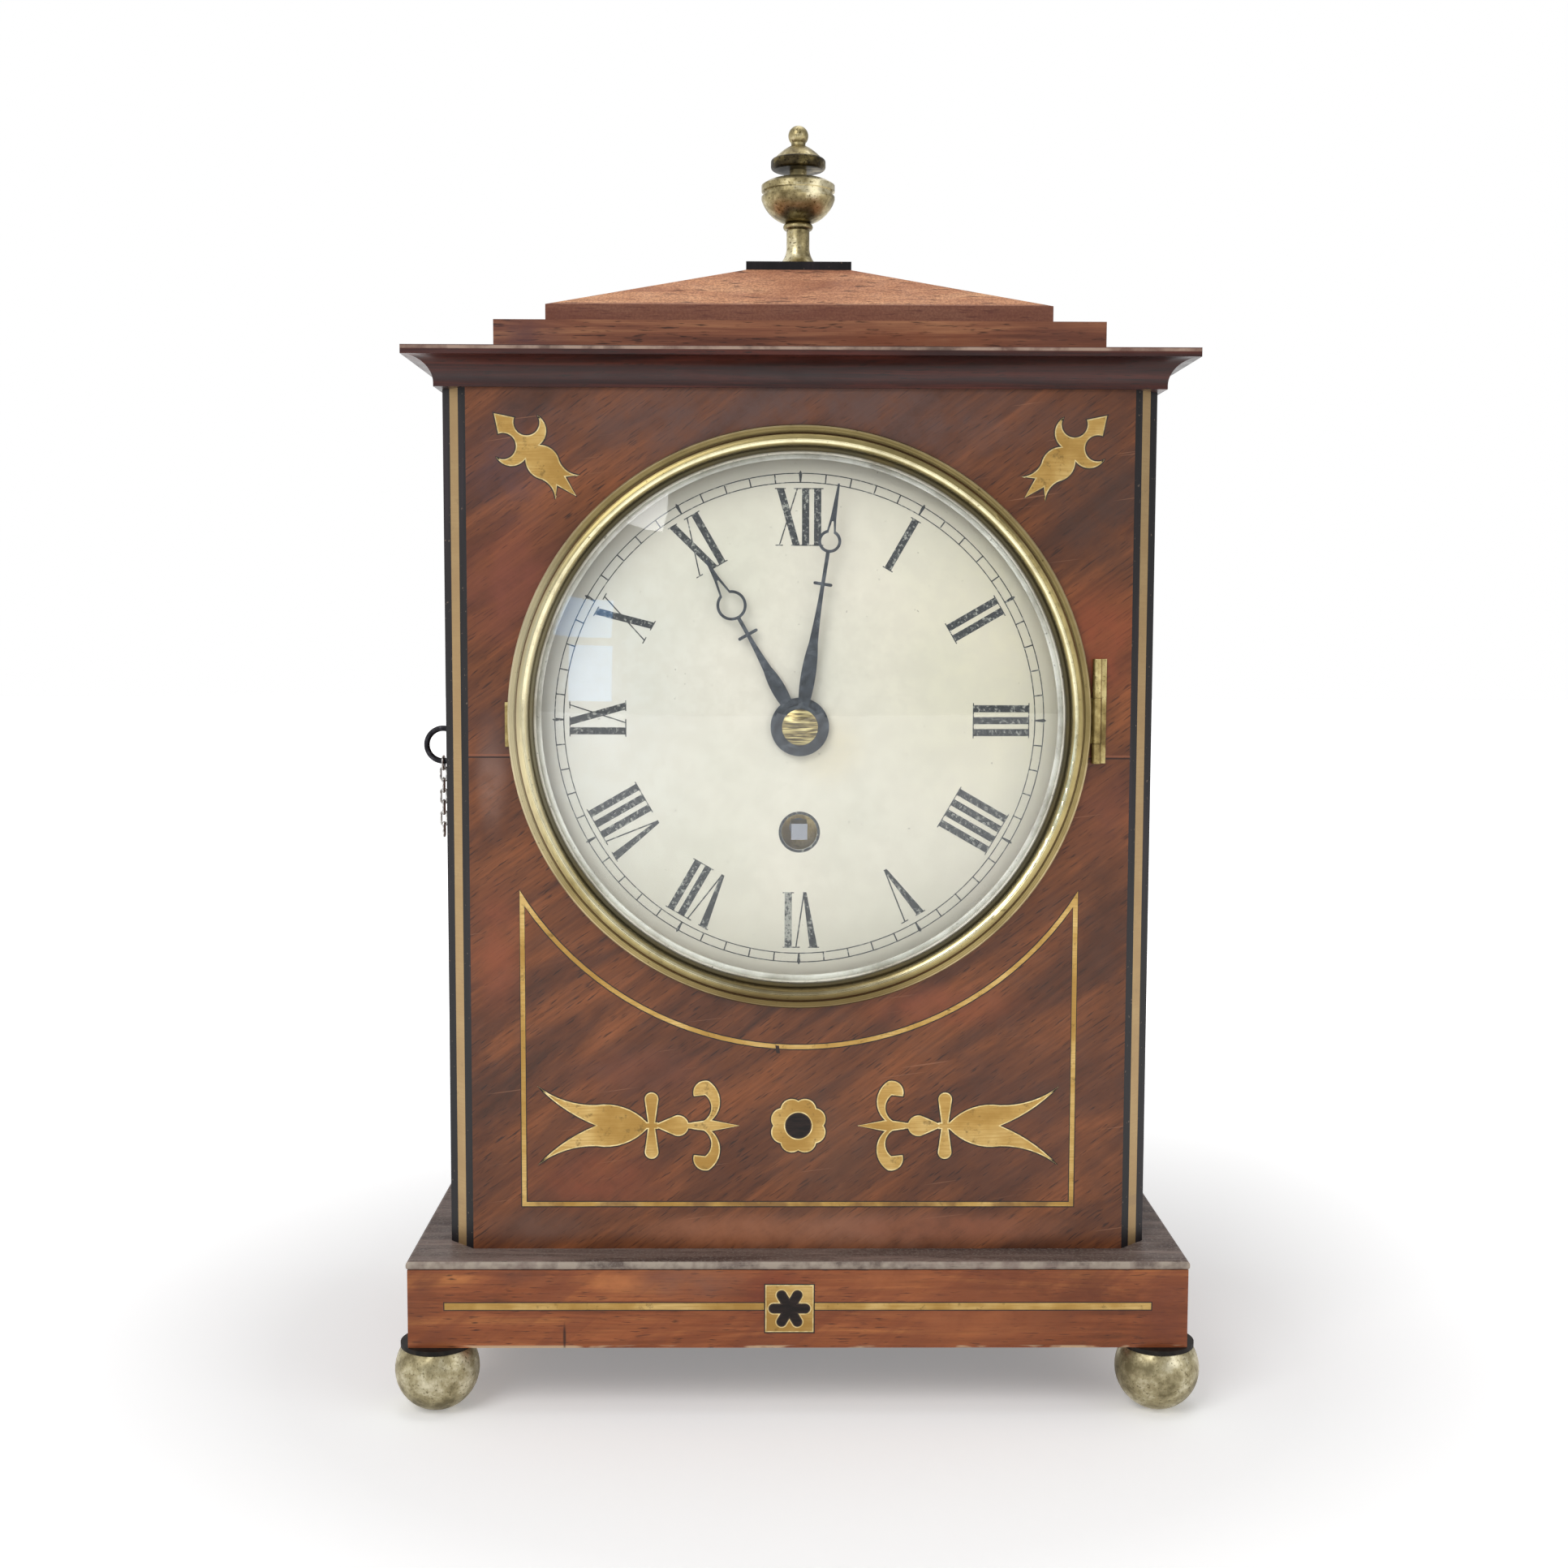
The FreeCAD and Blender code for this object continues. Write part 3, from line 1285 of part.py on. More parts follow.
centre_pinion = pinion(
    int(value("centre_leaves")), value("great_module"),
    deep(value("great_depth") - 1, value("great_depth + great_thickness") + 1), -90,
)
centre_wheel = wheel(
    int(value("centre_teeth")), value("centre_module"), centre_levels, TO_THIRD, 4, 2.4,
)
arbor_end = value("front") - value(arbor_front)
centre = joined([
    centre_pinion, centre_wheel,
    disc(ARBOR, *deep(-arbor_end, BETWEEN[1])), disc(PIVOT, *deep(BETWEEN[1], THROUGH[1])),
])
part("centre_wheel", shaped("centre", centre, *CENTRE_PLACE, FACING))

third = joined([
    pinion(
        int(value("third_leaves")), value("centre_module"),
        deep(value("centre_depth") - 2, value("centre_depth") + TRAIN + 2), TO_THIRD + 180,
    ),
    wheel(int(value("third_teeth")), value("third_module"), third_levels, TO_ESCAPE, 3.6, 2.2),
    *arbor(*BETWEEN, 1.2, *THROUGH, PIVOT),
])
part("third_wheel", shaped(
    "third", third, "third_offset", "front", "arbor_height + third_rise", FACING,
))


def escape_blank():
    """Escape wheel with long leaning teeth that end in fine tips."""
    teeth = int(value("escape_teeth"))
    tip = value("escape_radius")
    root = tip - value("escape_tooth_height")
    step = 2 * math.pi / teeth
    spots = []
    for number in range(teeth):
        for radius, side in ((root, -0.22), (tip, -0.04), (tip, 0.04), (root, 0.3)):
            angle = math.pi / 2 + (number + side) * step
            spots.append(Vector(radius * math.cos(angle), radius * math.sin(angle), 0))
    blank = slab(Part.makePolygon(spots + spots[:1]), *escape_levels)
    window = disc(root - 1.6, *escape_levels).cut(disc(3, *escape_levels))
    for number in range(4):
        arm = bar((0, root), (-0.9, 0.9), escape_levels)
        arm.rotate(Vector(), Vector(0, 0, 1), 45 + 90 * number)
        window = window.cut(arm)
    return blank.cut(window)


escape = joined([
    escape_blank(),
    pinion(
        int(value("escape_leaves")), value("third_module"),
        deep(value("third_depth") - 2, value("third_depth") + TRAIN + 2), TO_ESCAPE + 180,
    ),
    *arbor(*BETWEEN, 1.1, *THROUGH, PIVOT),
])
part("escape_wheel", shaped("escape", escape, "0", "front", "arbor_height + escape_offset", FACING))


def fusee_cone():
    """Grooved cone that evens out the spring's pull, on the winding arbor with its square end."""
    large = value("fusee_large_radius")
    small = value("fusee_small_radius")
    length = value("fusee_length")
    grooves = int(value("fusee_grooves"))
    sink = value("fusee_groove_depth")
    start = value("great_depth + great_thickness") + SHAKE
    step = length / grooves
    spots = [(0, start)]
    for number in range(grooves):
        share = number / (grooves - 1)
        radius = small + (large - small) * (1 - share) ** 1.4
        near = start + number * step
        spots += [(radius, near), (radius, near + 0.3 * step)]
        spots += [(radius - sink, near + 0.45 * step), (radius - sink, near + 0.85 * step), (radius - sink / 2, near + step)]
    spots.append((0, start + length))
    outline = Part.makePolygon([Vector(radius, 0, -depth) for radius, depth in spots + spots[:1]])
    return Part.Face(outline).revolve(Vector(), Vector(0, 0, 1), 360)


square_half = value("winding_square") / 2
square_front = value("dial_set_back") + 1.5
fusee = joined([
    fusee_cone(),
    disc(WINDING, *deep(FRONT_PLATE[0] - SHAKE, value("great_depth") + value("fusee_length") + 6)),
    disc(PIVOT * 2, *deep(value("great_depth") + value("fusee_length") + 6, THROUGH[1])),
    bar((-square_half, square_half), (-square_half, square_half), deep(square_front, FRONT_PLATE[0] - SHAKE)),
])
part("fusee", shaped("fusee_whole", fusee, "0", "front", "winding_height", FACING))

BARREL = value("barrel_radius")
BARREL_WALL = value("barrel_wall")
BARREL_LEVELS = (value("great_depth") + 4, value("great_depth") + 4 + value("barrel_length"))
BARREL_ARBOR = value("barrel_arbor_radius")
drum = disc(BARREL, *deep(*BARREL_LEVELS))
drum = drum.cut(disc(BARREL - BARREL_WALL, *deep(BARREL_LEVELS[0] + BARREL_WALL, BARREL_LEVELS[1] - BARREL_WALL)))
drum = drum.cut(disc(BARREL_ARBOR + FIT, *deep(*BARREL_LEVELS)))
BARREL_PLACE = ("barrel_offset_x", "front", "arbor_height - barrel_drop", FACING)
part("barrel", shaped("barrel_drum", drum, *BARREL_PLACE))
barrel_arbor = joined([
    disc(BARREL_ARBOR, *deep(*BETWEEN)),
    disc(PIVOT * 2, *deep(THROUGH[0], BETWEEN[0])),
    disc(PIVOT * 2, *deep(BETWEEN[1], THROUGH[1])),
])
part("barrel_arbor", shaped("barrel_shaft", barrel_arbor, *BARREL_PLACE))


def spring_coil():
    """Mainspring wound from half turns about two centres, each half a step wider than the last."""
    strip = value("spring_strip")
    step = value("spring_pitch") / 2
    inner = BARREL_ARBOR + SHAKE
    halves = int((BARREL - BARREL_WALL - SHAKE - strip - inner) / step) - 1
    inside = []
    outside = []
    for number in range(halves):
        side = 1 if number % 2 == 0 else -1
        centre = 0 if side > 0 else step
        for radius, steps in ((inner + number * step, inside), (inner + number * step + strip, outside)):
            steps.append(((centre, side * radius), (centre - side * radius, 0)))
    start = (inner, 0)
    outer_start = (inner + strip, 0)
    back = [(outside[number][0], outside[number - 1][1]) for number in range(halves - 1, 0, -1)]
    back.append((outside[0][0], outer_start))
    levels = deep(BARREL_LEVELS[0] + 2 * BARREL_WALL, BARREL_LEVELS[1] - 2 * BARREL_WALL)
    return slab(closed(start, *inside, outside[-1][1], *back), *levels)


part("mainspring", shaped("spring_strip_coil", spring_coil(), *BARREL_PLACE))


def chain_run():
    """Straight stretch of chain between the barrel and the middle groove of the fusee."""
    barrel = Vector(value("barrel_offset_x"), -value("barrel_drop"), 0)
    winding = Vector(0, -value("winding_drop"), 0)
    thick = value("chain_thickness")
    groove = 3
    grooves = value("fusee_grooves")
    small = value("fusee_small_radius")
    large = value("fusee_large_radius")
    radius = small + (large - small) * (1 - (groove - 1) / (grooves - 1)) ** 1.4
    gap = value("chain_gap")
    line = winding - barrel
    span = line.Length
    line.normalize()
    lean = (BARREL - radius) / span
    out = line * lean + Vector(-line.y, line.x, 0) * math.sqrt(1 - lean ** 2)
    near = barrel + out * (BARREL + gap)
    far = winding + out * (radius + gap)
    depth = value("great_depth + great_thickness") + SHAKE + (groove + 0.5) * value("fusee_length") / grooves
    width = value("chain_width")
    run = Part.makeBox((far - near).Length, thick, width)
    angle = math.degrees(math.atan2(far.y - near.y, far.x - near.x))
    run.rotate(Vector(), Vector(0, 0, 1), angle)
    run.translate(Vector(near.x, near.y, -depth - width / 2))
    return Part.Compound([run])


part("fusee_chain", shaped("chain_strip", chain_run(), *CENTRE_PLACE, FACING))

# Motion work between the front plate and the dial: cannon wheel, minute wheel, hour wheel.

MOTION = value("motion_thickness")
cannon_levels = deep(value("motion_depth"), value("motion_depth") + MOTION)
hour_levels = deep(value("hour_wheel_depth"), value("hour_wheel_depth") + MOTION)
CANNON = value("cannon_radius")
HOUR_PIPE = value("hour_pipe_radius")
cannon = joined([
    slab(toothed(int(value("cannon_teeth")), value("cannon_module"), 0.34, 0.7, 1.1, 0), *cannon_levels),
    disc(CANNON, *deep(-value("minute_height"), value("motion_depth"))),
]).cut(disc(ARBOR + FIT, *deep(-5, FRONT_PLATE[0])))
part("cannon_wheel", shaped("cannon", cannon, *CENTRE_PLACE, FACING))
hour_pipe_front = -value("hour_height") - value("hand_thickness")
hour = joined([
    wheel(int(value("hour_teeth")), value("hour_module"), hour_levels, 0, HOUR_PIPE + 2, 1.8),
    disc(HOUR_PIPE, *deep(hour_pipe_front, value("hour_wheel_depth"))),
]).cut(disc(HOUR_PIPE - value("hour_pipe_wall"), *deep(-5, FRONT_PLATE[0])))
part("hour_wheel", shaped("hour_wheel_pipe", hour, *CENTRE_PLACE, FACING))
STUD = value("minute_stud_radius")
minute = joined([
    wheel(int(value("minute_teeth")), value("cannon_module"), cannon_levels, 180, 4.6, 1.6, gap=True),
    pinion(
        int(value("minute_leaves")), value("hour_module"),
        deep(value("hour_wheel_depth") - 0.5, value("motion_depth")), 180,
    ),
]).cut(disc(STUD + FIT, *deep(0, FRONT_PLATE[0])))
part("minute_wheel", shaped("minute", minute, "motion_distance", "front", "arbor_height", FACING))


def across_depth(name, radius, near, far, x, z):
    """Round bar that runs from one depth to another."""
    return rod(name, "y", radius, (f"front + {near}", f"front + {far}"), (x, z))


PILLARS = [
    (f"{side} * pillar_reach", height) for height in ("pillar_low", "pillar_high") for side in (-1, 1)
]
pillars = []
tenon_holes = []
for number, (x, z) in enumerate(PILLARS):
    barrel_of_pillar = across_depth(f"pillar_{number}", "pillar_radius", "front_plate_back", "back_plate_depth", x, z)
    tenon = across_depth(
        f"tenon_{number}", "pillar_tenon_radius", "front_plate_depth - hinge_slit", "back_plate_back + hinge_slit", x, z,
    )
    pillars.append(fuse(f"pillar_whole_{number}", barrel_of_pillar, tenon))
    tenon_holes.append(across_depth(
        f"tenon_hole_{number}", "pillar_tenon_radius + running_fit", "front_plate_depth", "back_plate_back", x, z,
    ))
part("pillars", group("four_pillars", *pillars))

THIRD_SPOT = ("third_offset", "arbor_height + third_rise")
ESCAPE_SPOT = ("0", "arbor_height + escape_offset")
PALLET_SPOT = ("0", "pallet_height")
CENTRE_SPOT = ("0", "arbor_height")
WINDING_SPOT = ("0", "winding_height")
BARREL_SPOT = ("barrel_offset_x", "arbor_height - barrel_drop")


def plate(name, near, far, holes):
    """Movement plate with a hole for each pivot and pillar."""
    blank = box(
        name + "_blank", ("-plate_reach", "plate_reach"), (f"front + {near}", f"front + {far}"),
        ("plate_bottom", "plate_top"),
    )
    tools = [
        across_depth(f"{name}_hole_{number}", f"{radius} + running_fit", near, far, x, z)
        for number, (radius, (x, z)) in enumerate(holes)
    ]
    return cut(name, blank, *tools, *tenon_holes)


front_plate = plate("front_plate_cut", "front_plate_depth", "front_plate_back", [
    ("arbor_radius", CENTRE_SPOT), ("pivot_radius", THIRD_SPOT), ("pivot_radius", ESCAPE_SPOT),
    ("pivot_radius", PALLET_SPOT), ("winding_arbor_radius", WINDING_SPOT), ("2 * pivot_radius", BARREL_SPOT),
])
minute_stud = across_depth(
    "minute_stud", "minute_stud_radius", "hour_wheel_depth - 2", "front_plate_depth",
    "motion_distance", "arbor_height",
)
part("front_plate", fuse("front_plate_whole", cut("front_plate_drilled", front_plate, *dial_foot_holes), minute_stud))
part("back_plate", plate("back_plate_cut", "back_plate_depth", "back_plate_back", [
    ("pivot_radius", CENTRE_SPOT), ("pivot_radius", THIRD_SPOT), ("pivot_radius", ESCAPE_SPOT),
    ("arbor_radius", PALLET_SPOT), ("2 * pivot_radius", WINDING_SPOT), ("2 * pivot_radius", BARREL_SPOT),
]))


# Escapement, crutch and pendulum.

def anchor():
    """Arched pallets over the escape wheel with a crutch whose fork takes the pendulum rod."""
    drop = value("pallet_offset - escape_offset")
    tip = value("escape_radius")
    clear = value("pallet_clearance")
    middle = value("escape_depth") + TRAIN / 2
    thick = value("pallet_thickness")
    levels = deep(middle - thick / 2, middle + thick / 2)
    half_span = 3.5 * 360 / value("escape_teeth")
    arch = disc(tip + 4.8, *levels, 0, -drop).cut(disc(tip + 2.4, *levels, 0, -drop))
    keep = Part.makeCylinder(tip + 6, thick, Vector(0, -drop, levels[0]), Vector(0, 0, 1), 2 * half_span + 6)
    keep.rotate(Vector(0, -drop, 0), Vector(0, 0, 1), 90 - half_span - 3)
    pieces = [arch.common(keep), disc(3.2, *levels)]
    for side in (-1, 1):
        nib = bar((tip + clear, tip + 4), (-0.7, 0.7), levels)
        nib.rotate(Vector(), Vector(0, 0, 1), 90 + side * half_span)
        nib.translate(Vector(0, -drop, 0))
        pieces.append(nib)
    pieces += [
        disc(ARBOR, *deep(BETWEEN[0], BACK_PLATE[1] + 2.5)),
        disc(PIVOT, *deep(THROUGH[0], BETWEEN[0])),
    ]
    fork = value("crutch_drop")
    inner = value("pendulum_rod_radius") + SHAKE
    reach = value("pendulum_depth") + 2
    near = BACK_PLATE[1] + 0.8
    far = near + 1.7
    pieces += [
        bar((-1.2, 1.2), (-fork, 0), deep(near, far)),
        bar((-inner - 1.5, inner + 1.5), (-fork - 1, -fork + 1), deep(near, far)),
        bar((-inner - 1.5, -inner), (-fork - 1, -fork + 1), deep(near, reach)),
        bar((inner, inner + 1.5), (-fork - 1, -fork + 1), deep(near, reach)),
    ]
    return joined(pieces)


part("pallets", shaped("anchor", anchor(), "0", "front", "pallet_height", FACING))

cock_x = ("-6", "6")
cock_foot = box(
    "cock_foot", ("-18", "18"), ("front + back_plate_back", "front + back_plate_back + 4"),
    ("pallet_height + 6", "pallet_height + 15"),
)
cock_arm = box(
    "cock_arm", cock_x, ("front + back_plate_back", "front + pendulum_depth + 4"),
    ("pallet_height + 6", "pallet_height + 15"),
)
cock_head = box(
    "cock_head", cock_x, ("front + pendulum_depth - 4", "front + pendulum_depth + 4"),
    ("pallet_height + 0.5", "pallet_height + 15"),
)
cock_slit = box(
    "cock_slit_cut", ("-cock_slit / 2", "cock_slit / 2"),
    ("front + pendulum_depth - 4", "front + pendulum_depth + 4"),
    ("pallet_height + 0.5", "pallet_height + 8"),
)
part("back_cock", cut("cock", fuse("cock_whole", cock_foot, cock_arm, cock_head), cock_slit))

spring_y = ("front + pendulum_depth - spring_width / 2", "front + pendulum_depth + spring_width / 2")
suspension = box(
    "suspension", ("-spring_thickness / 2", "spring_thickness / 2"), spring_y,
    ("pallet_height - spring_length", "pallet_height + 3"),
)
pendulum_spot = ("0", "front + pendulum_depth")
pendulum_rod = rod(
    "pendulum_bar", "z", "pendulum_rod_radius",
    ("bob_height - rod_tail", "pallet_height - spring_length - 4"), pendulum_spot,
)
chops = box(
    "pendulum_chops", ("-pendulum_rod_radius - 0.4", "pendulum_rod_radius + 0.4"), spring_y,
    ("pallet_height - spring_length - 5", "pallet_height - spring_length"),
)
part("pendulum_rod", group("rod_and_spring", fuse("pendulum_whole", pendulum_rod, chops), suspension))
bob_half = "bob_thickness / 2"
bob_edge = "bob_thickness / 12"
bob_curve = f"(bob_radius ^ 2 + ({bob_half} - {bob_edge}) ^ 2) / (2 * ({bob_half} - {bob_edge}))"
bob_blank = turned("bob_blank", [
    ("0", f"-{bob_half}"),
    ("bob_radius", f"-{bob_edge}"),
    ("bob_radius", bob_edge),
    ("0", bob_half),
], {0: (bob_curve, 1), 2: (bob_curve, 1)})
place(bob_blank, "0", "front + pendulum_depth", "bob_height", FACING)
rod_way = rod(
    "rod_way", "z", "pendulum_rod_radius + running_fit",
    ("bob_height - bob_radius - nut_gap - nut_height", "bob_height + bob_radius"), pendulum_spot,
)
part("pendulum_bob", cut("bob", bob_blank, rod_way))
nut_blank = rod(
    "nut_blank", "z", "nut_radius",
    ("bob_height - bob_radius - nut_gap - nut_height", "bob_height - bob_radius - nut_gap"), pendulum_spot,
)
part("rating_nut", cut("nut", nut_blank, rod_way))

seat_y = ("front + post_depth", "front + pendulum_depth - seat_gap")
seat_low = "plate_bottom - seat_thickness"
seat = box("seat", ("-inner_reach", "inner_reach"), seat_y, (seat_low, "plate_bottom"))
cleat_z = (f"{seat_low} - cleat_size", seat_low)
left_cleat = box("left_cleat", ("-inner_reach", "-inner_reach + cleat_size"), seat_y, cleat_z)
right_cleat = box("right_cleat", ("inner_reach - cleat_size", "inner_reach"), seat_y, cleat_z)
part("seat_board", group("seat_and_cleats", seat, left_cleat, right_cleat))


# ---------------------------------------------------------------------------------------------
# Rear door: a glazed frame on two hinges, held by a turn catch.

door_y = ("frame_front", "back")
door_blank = box("door_blank", ("door_left", "door_right"), door_y, ("door_low", "door_high"))
sight_x = ("door_left + stile_width", "door_right - stile_width")
sight_z = ("door_low + stile_width", "door_high - stile_width")
door_sight = box("door_sight", sight_x, door_y, sight_z)
lap = "(pane_lap + pane_clearance)"
pane_back = "frame_front + 2 * pane_thickness"
door_rebate = box(
    "door_rebate", (f"{sight_x[0]} - {lap}", f"{sight_x[1]} + {lap}"), ("frame_front", pane_back),
    (f"{sight_z[0]} - {lap}", f"{sight_z[1]} + {lap}"),
)
catch_x = "door_right - catch_inset"
catch_hole = rod(
    "catch_hole", "y", "catch_spindle_radius + running_fit", door_y, (catch_x, "catch_height"),
)
part("rear_door", cut("door", door_blank, door_sight, door_rebate, catch_hole))
part("rear_door_glass", box(
    "door_pane", (f"{sight_x[0]} - pane_lap", f"{sight_x[1]} + pane_lap"),
    (f"{pane_back} - pane_thickness", pane_back), (f"{sight_z[0]} - pane_lap", f"{sight_z[1]} + pane_lap"),
))

DOOR_HINGES = ("door_low + door_hinge_inset", "door_high - door_hinge_inset")
door_leaves = []
case_leaves = []
leaf_gap = "(door_knuckle_radius + hinge_slit)"
for number, middle_z in enumerate(DOOR_HINGES):
    low = f"{middle_z} - door_hinge_height / 2"
    high = f"{middle_z} + door_hinge_height / 2"
    inner_low = f"{middle_z} - door_hinge_height / 6"
    inner_high = f"{middle_z} + door_hinge_height / 6"
    slim = "hinge_slit / 2"
    leaf_depth = ("back", "back + door_leaf_thickness")
    axis_spot = ("door_axis_x", "door_axis_y")

    def door_barrel(name, bottom, top, radius="door_knuckle_radius"):
        return rod(f"{name}_{number}", "z", radius, (bottom, top), axis_spot)

    bore = door_barrel("door_bore", low, high, "door_pin_radius + running_fit")
    inner = (f"{inner_low} + {slim}", f"{inner_high} - {slim}")
    door_leaves.append(cut(f"door_leaf_{number}", fuse(
        f"door_leaf_whole_{number}",
        box(f"door_wing_{number}", (f"door_axis_x + {leaf_gap}", "door_axis_x + door_leaf_width"), leaf_depth, (low, high)),
        box(f"door_tab_{number}", ("door_axis_x", f"door_axis_x + {leaf_gap}"), leaf_depth, inner),
        door_barrel("door_knuckle", *inner),
    ), bore))
    case_leaves.append(fuse(
        f"case_leaf_{number}",
        box(f"case_wing_{number}", ("door_axis_x - door_leaf_width", f"door_axis_x - {leaf_gap}"), leaf_depth, (low, high)),
        box(f"case_low_tab_{number}", (f"door_axis_x - {leaf_gap}", "door_axis_x"), leaf_depth, (low, f"{inner_low} - {slim}")),
        box(f"case_high_tab_{number}", (f"door_axis_x - {leaf_gap}", "door_axis_x"), leaf_depth, (f"{inner_high} + {slim}", high)),
        door_barrel("case_low_knuckle", low, f"{inner_low} - {slim}"),
        door_barrel("case_high_knuckle", f"{inner_high} + {slim}", high),
        door_barrel("door_pin", low, high, "door_pin_radius"),
    ))
part("rear_hinge_door_leaves", group("door_side", *door_leaves))
part("rear_hinge_case_leaves", group("case_side", *case_leaves))

catch_spot = (catch_x, "catch_height")
catch_spindle = rod(
    "catch_spindle", "y", "catch_spindle_radius",
    ("frame_front - hinge_slit - catch_tongue_thickness", "back + hinge_slit + catch_knob_length"), catch_spot,
)
catch_knob = rod(
    "catch_knob", "y", "catch_knob_radius", ("back + hinge_slit", "back + hinge_slit + catch_knob_length"),
    catch_spot,
)
catch_tongue = box(
    "catch_tongue", (f"{catch_x} - catch_tongue_width / 2", f"{catch_x} + catch_tongue_width / 2"),
    ("frame_front - hinge_slit - catch_tongue_thickness", "frame_front - hinge_slit"),
    ("catch_height - catch_tongue_length", "catch_height + catch_tongue_width / 2"),
)
part("door_catch", fuse("catch", catch_spindle, catch_knob, catch_tongue))


# ---------------------------------------------------------------------------------------------
# Lock in the left side: its bolt slides up and a pin on its arm holds the bezel's tongue.

lock_y = ("lock_front", "lock_front + lock_length")
lock_z = ("lock_low", "lock_low + lock_height")
lock_block = box("lock_block", ("-inner_reach", "lock_inner"), lock_y, lock_z)
lock_space = box(
    "lock_space", ("-inner_reach + lock_wall", "lock_inner - lock_lid"),
    ("lock_front + lock_wall", "lock_front + lock_length - lock_wall"),
    ("lock_low + lock_wall", "lock_low + lock_height - lock_wall"),
)
bolt_x = ("bolt_outer", "bolt_inner")
bolt_z = ("keyhole_height - bolt_drop", "keyhole_height + bolt_rise")
bolt_slot = box(
    "bolt_slot", ("bolt_outer - hinge_slit", "bolt_inner + hinge_slit"), ("lock_front", "lock_front + lock_wall"),
    (f"{bolt_z[0]} - hinge_slit", f"{bolt_z[1]} + bolt_travel + hinge_slit"),
)
lock_round = rod(
    "lock_round", "x", "key_hole_radius", ("-inner_reach", "-inner_reach + lock_wall"),
    ("key_y", "keyhole_height"),
)
lock_slit = box(
    "lock_slit", ("-inner_reach", "-inner_reach + lock_wall"), (f"key_y - {bit_half}", f"key_y + {bit_half}"),
    (f"keyhole_height - ({bit_depth})", "keyhole_height"),
)
part("lock_case", cut("lock", lock_block, lock_space, bolt_slot, lock_round, lock_slit))

pin_z = "(tongue_low - bolt_pin_gap - bolt_pin_radius)"
bolt_back = "lock_front + lock_length - 2 * lock_wall"
bolt_plate = box("bolt_plate", bolt_x, ("lock_front - bolt_head", bolt_back), bolt_z)
bolt_arm = box(
    "bolt_arm", ("lock_inner - bolt_gap - bolt_arm_width", "lock_inner - bolt_gap"),
    ("bolt_pin_y - bolt_pin_radius - bolt_gap", "lock_front - bolt_gap"),
    (f"{pin_z} - bolt_arm_height / 2", f"{pin_z} + bolt_arm_height / 2"),
)
bolt_pin = rod(
    "bolt_pin", "x", "bolt_pin_radius", ("lock_inner - bolt_gap", "-tongue_reach + tongue_thickness + bolt_gap"),
    ("bolt_pin_y", pin_z),
)
talon = rod(
    "talon", "x", "talon_radius", ("bolt_outer - key_bit_width - 2 * hinge_slit", "bolt_outer"),
    ("key_y - talon_reach", "keyhole_height - talon_drop"),
)
part("lock_bolt", fuse("bolt", bolt_plate, bolt_arm, bolt_pin, talon))

key_spot = ("key_y", "keyhole_height")
key_stem = rod("key_stem", "x", "key_radius", ("-bow_reach + bow_radius", "bolt_outer - hinge_slit"), key_spot)
key_collar = rod(
    "key_collar", "x", "key_radius + 1.2", ("-bow_reach + bow_radius", "-bow_reach + bow_radius + 2"), key_spot,
)
key_bit = box(
    "key_bit", ("bolt_outer - key_bit_width - 2 * hinge_slit", "bolt_outer - 2 * hinge_slit"),
    ("key_y - key_bit_thickness / 2", "key_y + key_bit_thickness / 2"),
    ("keyhole_height - key_bit_length", "keyhole_height"),
)
bow = doc.addObject("Part::Torus", "bow")
bow.setExpression("Radius1", bound("bow_radius"))
bow.setExpression("Radius2", bound("bow_wire"))
bow.Angle1 = 0
bow.Angle2 = 360
place(bow, "-bow_reach", "key_y", "keyhole_height", TURN["y"])
part("key", fuse("key_whole", key_stem, key_collar, key_bit, bow))


def link():
    """One long chain link, drawn upright about its middle."""
    wire = value("link_wire")
    bend = value("link_width") / 2 - wire
    straight = value("link_length") - 2 * wire - 2 * bend
    upper = Part.makeTorus(bend, wire, Vector(0, straight / 2, 0), Vector(0, 0, 1), 0, 360, 180)
    lower = upper.copy()
    lower.rotate(Vector(), Vector(0, 0, 1), 180)
    sides = [
        Part.makeCylinder(wire, straight, Vector(side * bend, -straight / 2, 0), Vector(0, 1, 0))
        for side in (-1, 1)
    ]
    return upper.multiFuse([lower] + sides)


def hanging_chain():
    """Jump ring in the key's bow with its links below, each a quarter turn from the last."""
    ring = value("ring_radius")
    ring_wire = value("ring_wire")
    wire = value("link_wire")
    slack = 0.1
    hang = ring - ring_wire - value("bow_wire") - value("hinge_slit")
    pieces = [Part.makeTorus(ring, ring_wire, Vector(0, 0, -hang), Vector(1, 0, 0))]
    reach = value("link_length") / 2 - wire
    top = -hang - ring + ring_wire + wire + slack
    for number in range(int(value("link_count"))):
        shape = link()
        shape.rotate(Vector(), Vector(1, 0, 0), 90)
        shape.rotate(Vector(), Vector(0, 0, 1), 90 * (number % 2))
        shape.translate(Vector(0, 0, top - reach))
        pieces.append(shape)
        top -= 2 * reach - 2 * wire - slack
    return Part.Compound(pieces)


part("key_chain", shaped("chain", hanging_chain(), "-bow_reach", "key_y", "keyhole_height - bow_radius"))


# ---------------------------------------------------------------------------------------------
# Every object has to be sound before any file is written.

doc.recompute()
for item in doc.Objects:
    faults = [state for state in item.State if state in ("Invalid", "Error")]
    if faults:
        raise RuntimeError(f"{item.Name} is {faults}")
labels = [piece.Label for piece in PARTS]
if len(set(labels)) != len(labels):
    raise RuntimeError("two sub-parts share a name")
unsound = [
    piece.Label for piece in PARTS
    if piece.Shape.isNull() or not piece.Shape.isValid() or not piece.Shape.Solids
]
if unsound:
    raise RuntimeError(f"not sound solids: {unsound}")

